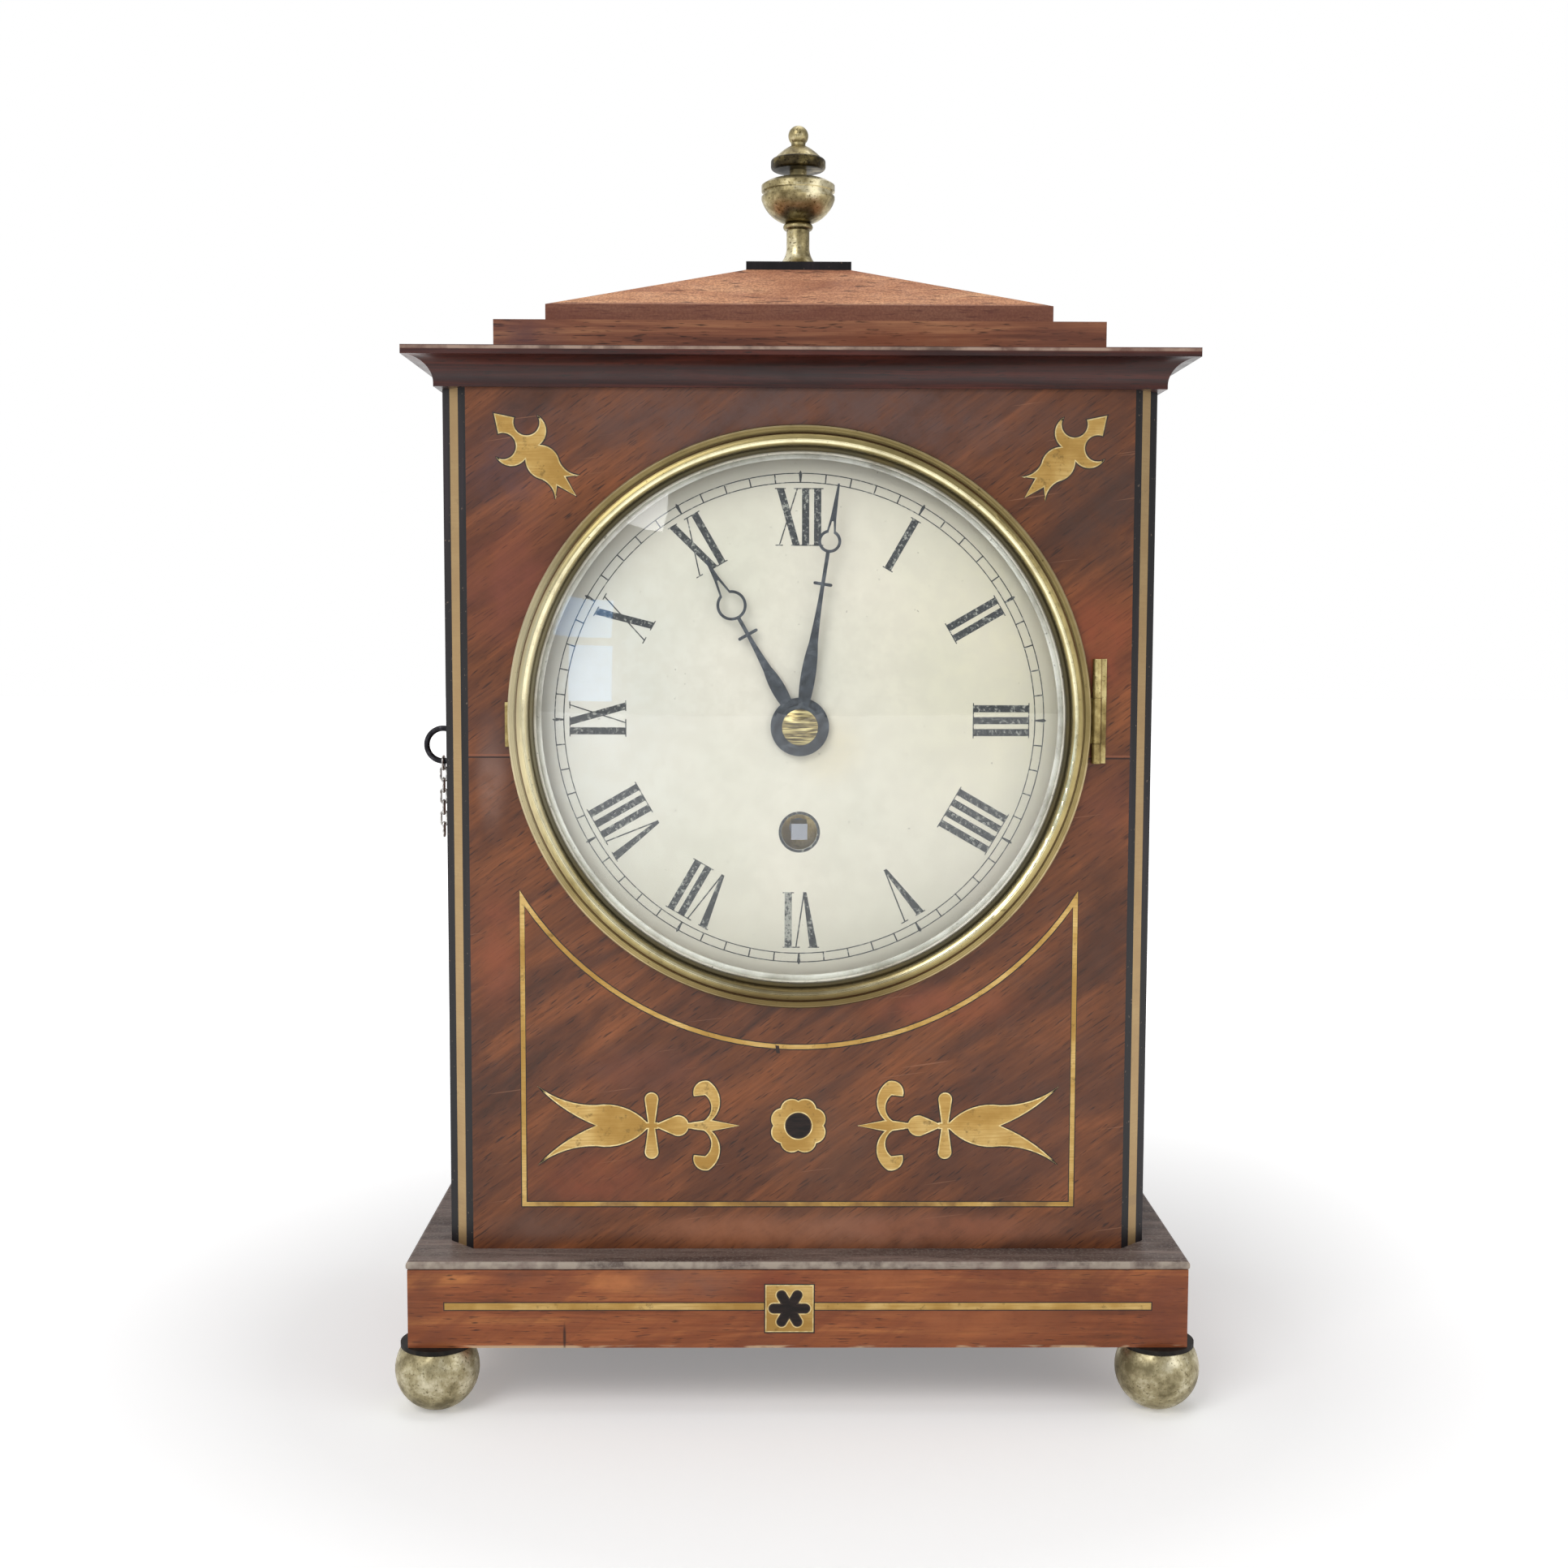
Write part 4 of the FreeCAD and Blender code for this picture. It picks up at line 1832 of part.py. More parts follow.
os.makedirs("parts", exist_ok=True)
for piece in PARTS:
    piece.Shape.exportStep(f"parts/{piece.Label}.step")
print(len(PARTS), "sub-parts written")
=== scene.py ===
import math

import bpy
import numpy as np
from mathutils import Matrix, Vector


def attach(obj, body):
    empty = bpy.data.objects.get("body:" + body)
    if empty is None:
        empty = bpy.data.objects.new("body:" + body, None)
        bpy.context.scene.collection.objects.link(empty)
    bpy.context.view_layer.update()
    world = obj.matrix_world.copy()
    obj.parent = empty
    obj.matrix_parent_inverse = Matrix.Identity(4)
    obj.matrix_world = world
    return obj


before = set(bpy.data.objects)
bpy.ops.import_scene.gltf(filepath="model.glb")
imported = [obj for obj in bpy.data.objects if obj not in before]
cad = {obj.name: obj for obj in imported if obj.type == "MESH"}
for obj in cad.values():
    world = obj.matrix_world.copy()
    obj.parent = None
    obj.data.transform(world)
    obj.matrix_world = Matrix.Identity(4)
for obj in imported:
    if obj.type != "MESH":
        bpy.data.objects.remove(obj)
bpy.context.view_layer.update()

# ---------------------------------------------------------------------------------------------
# Ball feet: four solid brass balls, cast in sand, turned and let go dull, each on a thin dark
# washer that is screwed to the plinth. Handling keeps the crowns bright and the hollows brown.


def linear(code):
    """Linear colour of an sRGB hex value: c / 12.92 below 0.04045, else ((c + 0.055) / 1.055) ^ 2.4."""
    parts = [int(code[i : i + 2], 16) / 255 for i in (1, 3, 5)]
    return tuple(c / 12.92 if c <= 0.04045 else ((c + 0.055) / 1.055) ** 2.4 for c in parts) + (1.0,)


def add(tree, kind, inputs, stops=(), out=None, **settings):
    """Node with its settings and its ramp's stops, and for each socket a value or the socket that
    feeds it. Gives back the named output, or else the first one in use."""
    made = tree.nodes.new("ShaderNode" + kind)
    for name, value in settings.items():
        setattr(made, name, value)
    for socket, value in inputs.items():
        if isinstance(value, bpy.types.NodeSocket):
            tree.links.new(value, made.inputs[socket])
        else:
            made.inputs[socket].default_value = value
    for number, (position, shade) in enumerate(stops):
        ramp = made.color_ramp.elements
        stop = ramp[number] if number < 2 else ramp.new(position)
        stop.position = position
        stop.color = linear(shade) if isinstance(shade, str) else (shade, shade, shade, 1.0)
    return made.outputs[out] if out else next(o for o in made.outputs if o.enabled)


def surface(name, **shader):
    """New material: its tree, its shader with the given sockets set, and the place in millimetres."""
    material = bpy.data.materials.new(name)
    material.use_nodes = True
    tree = material.node_tree
    principled = tree.nodes["Principled BSDF"]
    for socket, value in shader.items():
        principled.inputs[socket.replace("_", " ")].default_value = value
    spot = add(tree, "TexCoord", {}, out="Object")
    spot = add(tree, "Mapping", {"Vector": spot, "Scale": (1000.0, 1000.0, 1000.0)})
    return material, tree, principled.inputs, spot


def per(*sizes):
    """Mapping scale that makes a pattern's lumps as many millimetres long on each axis."""
    return tuple(1 / size for size in sizes)


def cover(material, *nodes):
    """The material on the CAD nodes' own slots."""
    for node in nodes:
        cad[node].material_slots[0].material = material


def dulled_brass(name, dark, middle, bright, roughness=0.32):
    """Cast and turned brass that has dulled. Clouds 9 mm wide run from brown to bright, and pits of
    0.9 mm hold black wax, which gives the eye a warm metal with a soft, uneven shine."""
    material, tree, sockets, spot = surface(name, Metallic=1.0)
    clouds = add(tree, "TexNoise", {"Vector": spot, "Scale": 1 / 9, "Detail": 6.0, "Roughness": 0.65})
    metal = add(tree, "ValToRGB", {"Fac": clouds}, [(0.36, dark), (0.5, middle), (0.64, bright)])
    pits = add(tree, "TexNoise", {"Vector": spot, "Scale": 1 / 0.9, "Detail": 2.0})
    waxed = add(tree, "ValToRGB", {"Fac": pits}, [(0.30, 0.9), (0.42, 0.0)])
    tone = add(tree, "Mix", {0: waxed, 6: metal, 7: linear(dark)}, data_type="RGBA")
    tree.links.new(tone, sockets["Base Color"])
    dull = add(tree, "ValToRGB", {"Fac": clouds}, [(0.3, roughness + 0.2), (0.7, roughness)])
    tree.links.new(dull, sockets["Roughness"])
    cast_skin = add(tree, "TexNoise", {"Vector": spot, "Scale": 1 / 1.8, "Detail": 3.0})
    relief = add(tree, "Bump", {"Height": cast_skin, "Distance": 0.00006})
    tree.links.new(relief, sockets["Normal"])
    return material


foot_brass = dulled_brass("Cast brass, dulled", "#786e52", "#a99e7c", "#ddd5b8")
cover(foot_brass, "ball_feet")
washer_iron, tree, sockets, spot = surface("Iron washer, blackened", Metallic=0.6, Roughness=0.62)
rust = add(tree, "TexNoise", {"Vector": spot, "Scale": 1 / 2.5})
rust = add(tree, "ValToRGB", {"Fac": rust}, [(0.35, "#141210"), (0.7, "#2d2620")])
tree.links.new(rust, sockets["Base Color"])
cover(washer_iron, "foot_collars")

# ---------------------------------------------------------------------------------------------
# Plinth: a pine frame faced with straight mahogany veneer, warm orange-brown under shellac, its
# lower edge chipped to the pale wood, and a thin dark board on it that has gathered dust.


def mahogany(name, shades, stretch, turn=(0.0, 0.0, 0.0), roughness=0.42, polish=0.18):
    """Sliced mahogany veneer under shellac. Shades run from dark late wood to light early wood. The
    figure is as long and wide as stretch says, fibre lines a tenth of that width lie in it, and
    pores show as dark dashes 0.6 mm wide and 6 mm long, drawn a little coarser than real ones."""
    material, tree, sockets, spot = surface(
        name, Coat_Weight=polish, Coat_Roughness=0.2, Specular_IOR_Level=0.3,
    )
    grain = add(tree, "Mapping", {"Vector": spot, "Rotation": turn})
    thin = min(stretch)
    figure = add(tree, "Mapping", {"Vector": grain, "Scale": per(*stretch)})
    figure = add(tree, "TexNoise", {
        "Vector": figure, "Scale": 1.0, "Detail": 7.0, "Roughness": 0.62, "Distortion": 0.8,
    })
    wood = add(tree, "ValToRGB", {"Fac": figure}, list(zip((0.30, 0.43, 0.55, 0.70), shades)))
    fibre = per(*[s / 2 if s > 3 * thin else s / 10 for s in stretch])
    fibres = add(tree, "Mapping", {"Vector": grain, "Scale": fibre, "Location": (7, 7, 7)})
    fibres = add(tree, "TexNoise", {"Vector": fibres, "Scale": 1.0, "Detail": 3.0, "Roughness": 0.6})
    fibres = add(tree, "ValToRGB", {"Fac": fibres}, [(0.34, 0.4), (0.60, 0.0)])
    wood = add(tree, "Mix", {0: fibres, 6: wood, 7: linear(shades[0])}, data_type="RGBA")
    pore = per(*[6.0 if s > 3 * thin else 0.6 for s in stretch])
    pores = add(tree, "Mapping", {"Vector": grain, "Scale": pore})
    pores = add(tree, "TexNoise", {"Vector": pores, "Scale": 1.0, "Detail": 2.0})
    pores = add(tree, "ValToRGB", {"Fac": pores}, [(0.30, 0.8), (0.41, 0.0)])
    wood = add(tree, "Mix", {0: pores, 6: wood, 7: linear("#22130f")}, data_type="RGBA")
    wear = add(tree, "TexNoise", {"Vector": spot, "Scale": 1 / 6, "Detail": 4.0})
    wear = add(tree, "ValToRGB", {"Fac": wear}, [(0.3, roughness + 0.1), (0.7, roughness - 0.05)])
    tree.links.new(wear, sockets["Roughness"])
    relief = add(tree, "Bump", {"Height": fibres, "Distance": 0.00003})
    tree.links.new(relief, sockets["Normal"])
    tree.links.new(wood, sockets["Base Color"])
    return material, tree, sockets, spot, wood


def patch(tree, spot, centre, reach, edge=0.1, strength=1.0):
    """Share of strength inside a soft oval about a place and 0 outside it, from the length of the
    way to the centre over the oval's half widths. A half width of 0 leaves that axis out."""
    scale = tuple(1 / r if r else 0.0 for r in reach)
    shift = tuple(-c * s for c, s in zip(centre, scale))
    way = add(tree, "Mapping", {"Vector": spot, "Scale": scale, "Location": shift})
    length = add(tree, "VectorMath", {0: way}, out="Value", operation="LENGTH")
    return add(tree, "MapRange", {
        "Value": length, "From Min": edge, "From Max": 1.0, "To Min": strength, "To Max": 0.0,
    }, interpolation_type="SMOOTHSTEP")


def stained_and_lit(tree, spot, wood, stains_and_light, ragged=9.0):
    """The wood with soft patches, stains and painted light alike: each has a place, a reach, a colour
    and a strength, and a ragged edge because its share is multiplied by clouds of that many millimetres."""
    clouds = add(tree, "TexNoise", {"Vector": spot, "Scale": 1 / ragged, "Detail": 5.0, "Roughness": 0.6})
    clouds = add(tree, "ValToRGB", {"Fac": clouds}, [(0.32, 0.35), (0.62, 1.0)])
    for centre, reach, shade, strength in stains_and_light:
        share = patch(tree, spot, centre, reach, 0.1, strength)
        share = add(tree, "Math", {0: share, 1: clouds}, operation="MULTIPLY")
        wood = add(tree, "Mix", {0: share, 6: wood, 7: linear(shade)}, data_type="RGBA")
    return wood


plinth_foot, plinth_face = 22.2, -78
plinth_veneer, tree, sockets, spot, wood = mahogany(
    "Mahogany veneer, sliced, warm shellac", ("#623317", "#8f4b26", "#a55d34", "#c27a43"),
    (80.0, 80.0, 8.0),
)
slant = add(tree, "Mapping", {"Vector": spot, "Rotation": (0.0, math.radians(40), 0.0)})
slant = add(tree, "Mapping", {"Vector": slant, "Scale": per(50, 50, 5), "Location": (4, 4, 4)})
flame = add(tree, "TexNoise", {"Vector": slant, "Scale": 1.0, "Detail": 4.0, "Distortion": 0.5})
flame = add(tree, "ValToRGB", {"Fac": flame}, [(0.46, 0.0), (0.66, 0.55)])
wood = add(tree, "Mix", {0: flame, 6: wood, 7: linear("#7c4026")}, data_type="RGBA")
wood = stained_and_lit(tree, spot, wood, [
    ((85, plinth_face, 38), (54, 9, 18), "#642f14", 0.8),
    ((-124, plinth_face, 40), (14, 9, 16), "#6f3b21", 0.8),
    ((-36, plinth_face, 44), (30, 9, 8), "#865743", 0.8),
    ((-8, plinth_face, 40), (14, 9, 12), "#752f1e", 0.9),
    ((-88, plinth_face, 46), (16, 9, 5), "#683a28", 0.7),
    ((58, plinth_face, 33), (44, 9, 12), "#b2683d", 0.6),
    ((120, plinth_face, 34), (14, 9, 22), "#773c26", 0.8),
    ((-60, plinth_face, 44), (16, 9, 5), "#d0824b", 0.7),
    ((30, plinth_face, 45), (24, 9, 5), "#bf7343", 0.6),
])
chips = add(tree, "Mapping", {"Vector": spot, "Scale": per(24, 24, 6)})
chips = add(tree, "TexNoise", {"Vector": chips, "Scale": 1.0, "Detail": 3.0})
chips = add(tree, "ValToRGB", {"Fac": chips}, [(0.52, 0.0), (0.56, 0.9)])
low_edge = patch(tree, spot, (0, 0, plinth_foot), (0, 0, 1.3), 0.6)
chips = add(tree, "Math", {0: chips, 1: low_edge}, operation="MULTIPLY")
wood = add(tree, "Mix", {0: chips, 6: wood, 7: linear("#d0b08c")}, data_type="RGBA")
split = patch(tree, spot, (-75.5, 0, 26), (0.7, 0, 6), 0.3, 0.85)
wood = add(tree, "Mix", {0: split, 6: wood, 7: linear("#2c1710")}, data_type="RGBA")
tree.links.new(wood, sockets["Base Color"])
cover(plinth_veneer, "plinth_frame")

board_wood, tree, sockets, spot, wood = mahogany(
    "Mahogany board, dark stain, dusty", ("#473936", "#64544d", "#7d6c64", "#9a847b"), (90.0, 7.0, 7.0),
    roughness=0.6, polish=0.05,
)
dust = add(tree, "TexNoise", {"Vector": spot, "Scale": 1 / 0.9, "Detail": 3.0, "Roughness": 0.7})
dust = add(tree, "ValToRGB", {"Fac": dust}, [(0.50, 0.0), (0.66, 0.7)])
wood = add(tree, "Mix", {0: dust, 6: wood, 7: linear("#8b8078")}, data_type="RGBA")
# A light line along the board's front edge: wear, together with a painted highlight on the arris.
rubbed = add(tree, "TexNoise", {"Vector": spot, "Scale": 1 / 6, "Detail": 3.0})
rubbed = add(tree, "ValToRGB", {"Fac": rubbed}, [(0.38, 0.15), (0.60, 0.9)])
edge = patch(tree, spot, (0, plinth_face - 0.5, 0), (0, 0.9, 0), 0.5)
rubbed = add(tree, "Math", {0: rubbed, 1: edge}, operation="MULTIPLY")
wood = add(tree, "Mix", {0: rubbed, 6: wood, 7: linear("#b5a797")}, data_type="RGBA")
tree.links.new(wood, sockets["Base Color"])
cover(board_wood, "plinth_top_board")

# ---------------------------------------------------------------------------------------------
# Brass and ebony inlay: sheet brass sawn to shape and let in flush with hide glue, then scraped
# level. A dark line round each piece is its glue and polish together with a painted shadow in the
# joint, and its edge is rubbed bright.

inlay_brass, tree, sockets, spot = surface("Sheet brass, scraped and lacquered", Metallic=0.8, Roughness=0.42)
tone = add(tree, "TexNoise", {"Vector": spot, "Scale": 1 / 14, "Detail": 5.0})
tone = add(tree, "ValToRGB", {"Fac": tone}, [(0.36, "#ab8647"), (0.5, "#bf9b59"), (0.66, "#d3b373")])
scrapes = add(tree, "Mapping", {"Vector": spot, "Scale": per(9, 9, 0.5)})
scrapes = add(tree, "TexNoise", {"Vector": scrapes, "Scale": 1.0, "Detail": 2.0})
scrapes = add(tree, "ValToRGB", {"Fac": scrapes}, [(0.35, 0.45), (0.6, 0.0)])
tone = add(tree, "Mix", {0: scrapes, 6: tone, 7: linear("#a37c3d")}, data_type="RGBA")
tarnish = add(tree, "TexNoise", {"Vector": spot, "Scale": 1 / 3.2, "Detail": 5.0, "Roughness": 0.7})
tarnish = add(tree, "ValToRGB", {"Fac": tarnish}, [(0.30, 0.75), (0.42, 0.0)])
tone = add(tree, "Mix", {0: tarnish, 6: tone, 7: linear("#6f5a33")}, data_type="RGBA")
grime = add(tree, "Mapping", {"Vector": spot, "Scale": per(12, 12, 12), "Location": (3, 3, 3)})
grime = add(tree, "TexNoise", {"Vector": grime, "Scale": 1.0, "Detail": 4.0})
grime = add(tree, "ValToRGB", {"Fac": grime}, [(0.44, 0.0), (0.56, 0.75)])
base_string, corner_string, board_top = 66, 104.5, 49.0
base_run = patch(tree, spot, (0, 0, base_string), (0, 0, 2.0), 0.7)
grime = add(tree, "Math", {0: grime, 1: base_run}, operation="MULTIPLY")
tone = add(tree, "Mix", {0: grime, 6: tone, 7: linear("#7a5a3c")}, data_type="RGBA")
outer = add(tree, "SeparateXYZ", {"Vector": spot}, out="X")
outer = add(tree, "Math", {0: outer}, operation="ABSOLUTE")
outer = add(tree, "MapRange", {
    "Value": outer, "From Min": corner_string, "From Max": corner_string + 1.5, "To Max": 0.8,
})
below = add(tree, "SeparateXYZ", {"Vector": spot}, out="Z")
below = add(tree, "MapRange", {"Value": below, "From Min": board_top, "From Max": board_top + 2.0})
outer = add(tree, "Math", {0: outer, 1: below}, operation="MULTIPLY")
tone = add(tree, "Mix", {0: outer, 6: tone, 7: linear("#a18763")}, data_type="RGBA")
tree.links.new(tone, sockets["Base Color"])
relief = add(tree, "Bump", {"Height": scrapes, "Distance": 0.00002})
tree.links.new(relief, sockets["Normal"])
cover(inlay_brass, "brass_ornaments", "brass_stringing")

ebony, tree, sockets, spot = surface("Ebony, scraped and waxed", Roughness=0.42, Specular_IOR_Level=0.25)
streaks = add(tree, "Mapping", {"Vector": spot, "Scale": per(4, 4, 0.6)})
streaks = add(tree, "TexNoise", {"Vector": streaks, "Scale": 1.0})
streaks = add(tree, "ValToRGB", {"Fac": streaks}, [(0.35, "#17110f"), (0.7, "#2c201c")])
tree.links.new(streaks, sockets["Base Color"])
cover(ebony, "ebony_inlays")


def piece(name, points, faces, material, body, smooth=False):
    """Object with its place in its mesh, in metres, its material and the body that it rides on."""
    mesh = bpy.data.meshes.new(name)
    mesh.from_pydata(np.reshape(points, (-1, 3)).tolist(), [], np.asarray(faces).tolist())
    if smooth:
        mesh.polygons.foreach_set("use_smooth", np.ones(len(mesh.polygons), bool))
        mesh.set_sharp_from_angle(angle=math.radians(32))
    mesh.materials.append(material)
    made = bpy.data.objects.new(name, mesh)
    bpy.context.scene.collection.objects.link(made)
    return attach(made, body)


def border(name, node, low, high, lift, material):
    """Flat ribbon along the edge of a node's faces that look forward. A point of the edge moves by
    twice the sum of its two edge normals over that sum's squared length, times each offset in mm."""
    mesh = cad[node].data
    mesh.calc_loop_triangles()
    spots = np.empty(len(mesh.vertices) * 3)
    mesh.vertices.foreach_get("co", spots)
    merged, index = np.unique(np.round(spots.reshape(-1, 3), 6), axis=0, return_inverse=True)
    corners = np.empty(len(mesh.loop_triangles) * 3, np.int64)
    mesh.loop_triangles.foreach_get("vertices", corners)
    corners = index.reshape(-1)[corners].reshape(-1, 3)
    a, b, c = (merged[corners[:, side]] for side in range(3))
    facing = np.cross(b - a, c - a)
    facing /= np.maximum(np.linalg.norm(facing, axis=1, keepdims=True), 1e-15)
    corners = corners[facing[:, 1] < -0.99]
    edges = np.concatenate([corners[:, [0, 1]], corners[:, [1, 2]], corners[:, [2, 0]]])
    _, first, count = np.unique(np.sort(edges, axis=1), axis=0, return_index=True, return_counts=True)
    edges = edges[first[count == 1]]
    run = merged[edges[:, 1]] - merged[edges[:, 0]]
    run /= np.maximum(np.linalg.norm(run, axis=1, keepdims=True), 1e-12)
    outward = np.cross(run, (0.0, -1.0, 0.0))
    total = np.zeros_like(merged)
    np.add.at(total, edges[:, 0], outward)
    np.add.at(total, edges[:, 1], outward)
    total *= 2 / np.maximum((total ** 2).sum(1, keepdims=True), 0.9)
    used, edges = np.unique(edges, return_inverse=True)
    edges = edges.reshape(-1, 2)
    base = merged[used] + (0, -lift / 1000, 0)
    points = np.concatenate([base + total[used] * low / 1000, base + total[used] * high / 1000])
    faces = np.stack([edges[:, 0], edges[:, 1], edges[:, 1] + len(used), edges[:, 0] + len(used)], 1)
    return piece(name, points, faces[:, ::-1], material, "case")


# The dark ribbon round each inlay: glue and wax, plus a painted shadow in the joint of the flush piece.
glue_and_shadow, tree, sockets, spot = surface("Hide glue and wax, with painted shadow", Roughness=0.6)
tone = add(tree, "TexNoise", {"Vector": spot, "Scale": 1 / 3})
tone = add(tree, "ValToRGB", {"Fac": tone}, [(0.35, "#1c110d"), (0.7, "#38251c")])
tree.links.new(tone, sockets["Base Color"])
rubbed_brass, tree, sockets, spot = surface("Sheet brass, edge rubbed bright", Metallic=0.8, Roughness=0.36)
tone = add(tree, "TexNoise", {"Vector": spot, "Scale": 1 / 2})
tone = add(tree, "ValToRGB", {"Fac": tone}, [(0.35, "#c4a869"), (0.7, "#ecd79f")])
tree.links.new(tone, sockets["Base Color"])
border("ornament_glue_and_shadow_line", "brass_ornaments", -0.06, 0.34, 0.03, glue_and_shadow)
border("ornament_bright_edge", "brass_ornaments", -0.42, -0.06, 0.035, rubbed_brass)
border("string_glue_and_shadow_line", "brass_stringing", -0.08, 0.26, 0.03, glue_and_shadow)
gap = np.array([(-7.6, 118.9), (-6.4, 118.7), (-6.1, 116.2), (-7.3, 116.4)])
gap = np.stack([gap[:, 0], np.full(4, -65.045), gap[:, 1]], 1) / 1000
piece("string_break", gap, [[0, 3, 2, 1]], glue_and_shadow, "case")

# ---------------------------------------------------------------------------------------------
# Front panel: crotch mahogany veneer on a softwood ground. Its figure climbs to the right in soft
# flames, greyer near the top in a painted sheen of reflected light, redder at mid height, and an old
# shrinkage crack runs across it.

front_face, crack_height = -65, 212.8
front_veneer, tree, sockets, spot, wood = mahogany(
    "Mahogany crotch veneer, french polished", ("#482817", "#653922", "#804a2a", "#9d5c35"),
    (70.0, 70.0, 12.0), turn=(0.0, math.radians(36), 0.0), roughness=0.36, polish=0.15,
)
# The two grey patches near the top, at heights 304 and 322, are a painted sheen of reflected light.
wood = stained_and_lit(tree, spot, wood, [
    ((-92, front_face, 304), (26, 30, 26), "#62484a", 0.6),
    ((-99, front_face, 208), (7, 30, 24), "#a07a6a", 0.8),
    ((20, front_face, 57), (90, 30, 9), "#ae7a60", 0.7),
    ((0, front_face, 322), (130, 30, 34), "#68504a", 0.85),
    ((96, front_face, 296), (34, 30, 44), "#4e3830", 0.8),
    ((-92, front_face, 268), (26, 30, 30), "#864a39", 0.75),
    ((-92, front_face, 222), (24, 30, 22), "#55372f", 0.8),
    ((96, front_face, 250), (20, 30, 26), "#994f33", 0.85),
    ((98, front_face, 196), (18, 30, 24), "#7a4533", 0.6),
    ((-98, front_face, 150), (12, 30, 30), "#985235", 0.75),
    ((46, front_face, 132), (36, 30, 10), "#975134", 0.75),
    ((99, front_face, 158), (16, 30, 42), "#4c2a18", 0.8),
    ((-66, front_face, 74), (34, 30, 14), "#914c30", 0.7),
    ((-50, front_face, 110), (34, 30, 12), "#754432", 0.7),
    ((8, front_face, 84), (26, 30, 34), "#6f4a36", 0.55),
    ((-20, front_face, 57), (44, 30, 8), "#ab6b48", 0.85),
    ((48, front_face, 58), (46, 30, 7), "#9a5839", 0.8),
    ((-84, front_face, 58), (26, 30, 9), "#744f3e", 0.8),
    ((74, front_face, 92), (40, 30, 40), "#5c392c", 0.5),
])
crack = patch(tree, spot, (0, 0, crack_height), (0, 0, 0.35), 0.4, 0.9)
wood = add(tree, "Mix", {0: crack, 6: wood, 7: linear("#26130e")}, data_type="RGBA")
crack_lip = patch(tree, spot, (0, 0, crack_height + 0.7), (0, 0, 0.45), 0.3, 0.5)
wood = add(tree, "Mix", {0: crack_lip, 6: wood, 7: linear("#a5664b")}, data_type="RGBA")
scratch = add(tree, "Mapping", {"Vector": spot, "Rotation": (0.0, math.radians(8), 0.0)})
scratch = add(tree, "Mapping", {"Vector": scratch, "Scale": per(34, 34, 0.9), "Location": (11, 2, 5)})
scratch = add(tree, "TexNoise", {"Vector": scratch, "Scale": 1.0, "Detail": 1.0})
scratch = add(tree, "ValToRGB", {"Fac": scratch}, [(0.72, 0.0), (0.79, 0.4)])
wood = add(tree, "Mix", {0: scratch, 6: wood, 7: linear("#b07a5c")}, data_type="RGBA")
tree.links.new(wood, sockets["Base Color"])
cover(front_veneer, "front_panel")

# ---------------------------------------------------------------------------------------------
# Corner posts: pearwood stained black to pass for ebony and waxed, with a brass string let into
# each canted face. The black has rubbed brown in specks along the arrises.

ebonised, tree, sockets, spot = surface(
    "Pearwood, ebonised and waxed", Roughness=0.42, Specular_IOR_Level=0.2,
)
sheen = add(tree, "Mapping", {"Vector": spot, "Scale": per(5, 5, 60)})
sheen = add(tree, "TexNoise", {"Vector": sheen, "Scale": 1.0, "Detail": 5.0})
tone = add(tree, "ValToRGB", {"Fac": sheen}, [(0.35, "#0d0b0d"), (0.55, "#181417"), (0.7, "#2a2227")])
specks = add(tree, "TexNoise", {"Vector": spot, "Scale": 1 / 1.4, "Detail": 3.0})
specks = add(tree, "ValToRGB", {"Fac": specks}, [(0.68, 0.0), (0.73, 0.7)])
tone = add(tree, "Mix", {0: specks, 6: tone, 7: linear("#7c6a5c")}, data_type="RGBA")
tree.links.new(tone, sockets["Base Color"])
cover(ebonised, "corner_posts", "finial_plinth")

# ---------------------------------------------------------------------------------------------
# Sides and back: plain mahogany with upright grain, the back frame and the inside boards left
# with a thinner polish than the show wood.

side_veneer = mahogany(
    "Mahogany, upright grain, polished", ("#3a211a", "#573325", "#724531", "#8a563e"), (12.0, 12.0, 110.0),
    roughness=0.4,
)[0]
cover(side_veneer, "side_panels", "back_frame")
board_mahogany = mahogany(
    "Mahogany board, thin polish", ("#4a2c20", "#6b4230", "#87573f", "#9d6c4e"), (120.0, 120.0, 10.0),
    roughness=0.55, polish=0.02,
)[0]
cover(board_mahogany, "top_board", "seat_board")

# ---------------------------------------------------------------------------------------------
# Cornice: solid mahogany planed to a cove under a flat, mitred at the front corners and stained
# almost black-purple. Its upper arris is rubbed to the pale wood.

cornice_wood, tree, sockets, spot, wood = mahogany(
    "Mahogany moulding, dark stain", ("#1f0c0b", "#361814", "#50241b", "#652f22"), (110.0, 110.0, 5.0),
    roughness=0.38, polish=0.2,
)
rubbed = add(tree, "TexNoise", {"Vector": spot, "Scale": 1 / 7, "Detail": 4.0})
rubbed = add(tree, "ValToRGB", {"Fac": rubbed}, [(0.36, 0.3), (0.56, 0.9)])
cornice_top = 341.5
arris = patch(tree, spot, (0, 0, cornice_top), (0, 0, 0.65), 0.5)
rubbed = add(tree, "Math", {0: rubbed, 1: arris}, operation="MULTIPLY")
wood = add(tree, "Mix", {0: rubbed, 6: wood, 7: linear("#b59a88")}, data_type="RGBA")
tree.links.new(wood, sockets["Base Color"])
cover(cornice_wood, "cornice")

# ---------------------------------------------------------------------------------------------
# Top: a square step and a low hipped block with a straight edge, mahogany that light has faded to
# pink-brown. The slopes were never filled, so their open grain catches dust and looks matt.

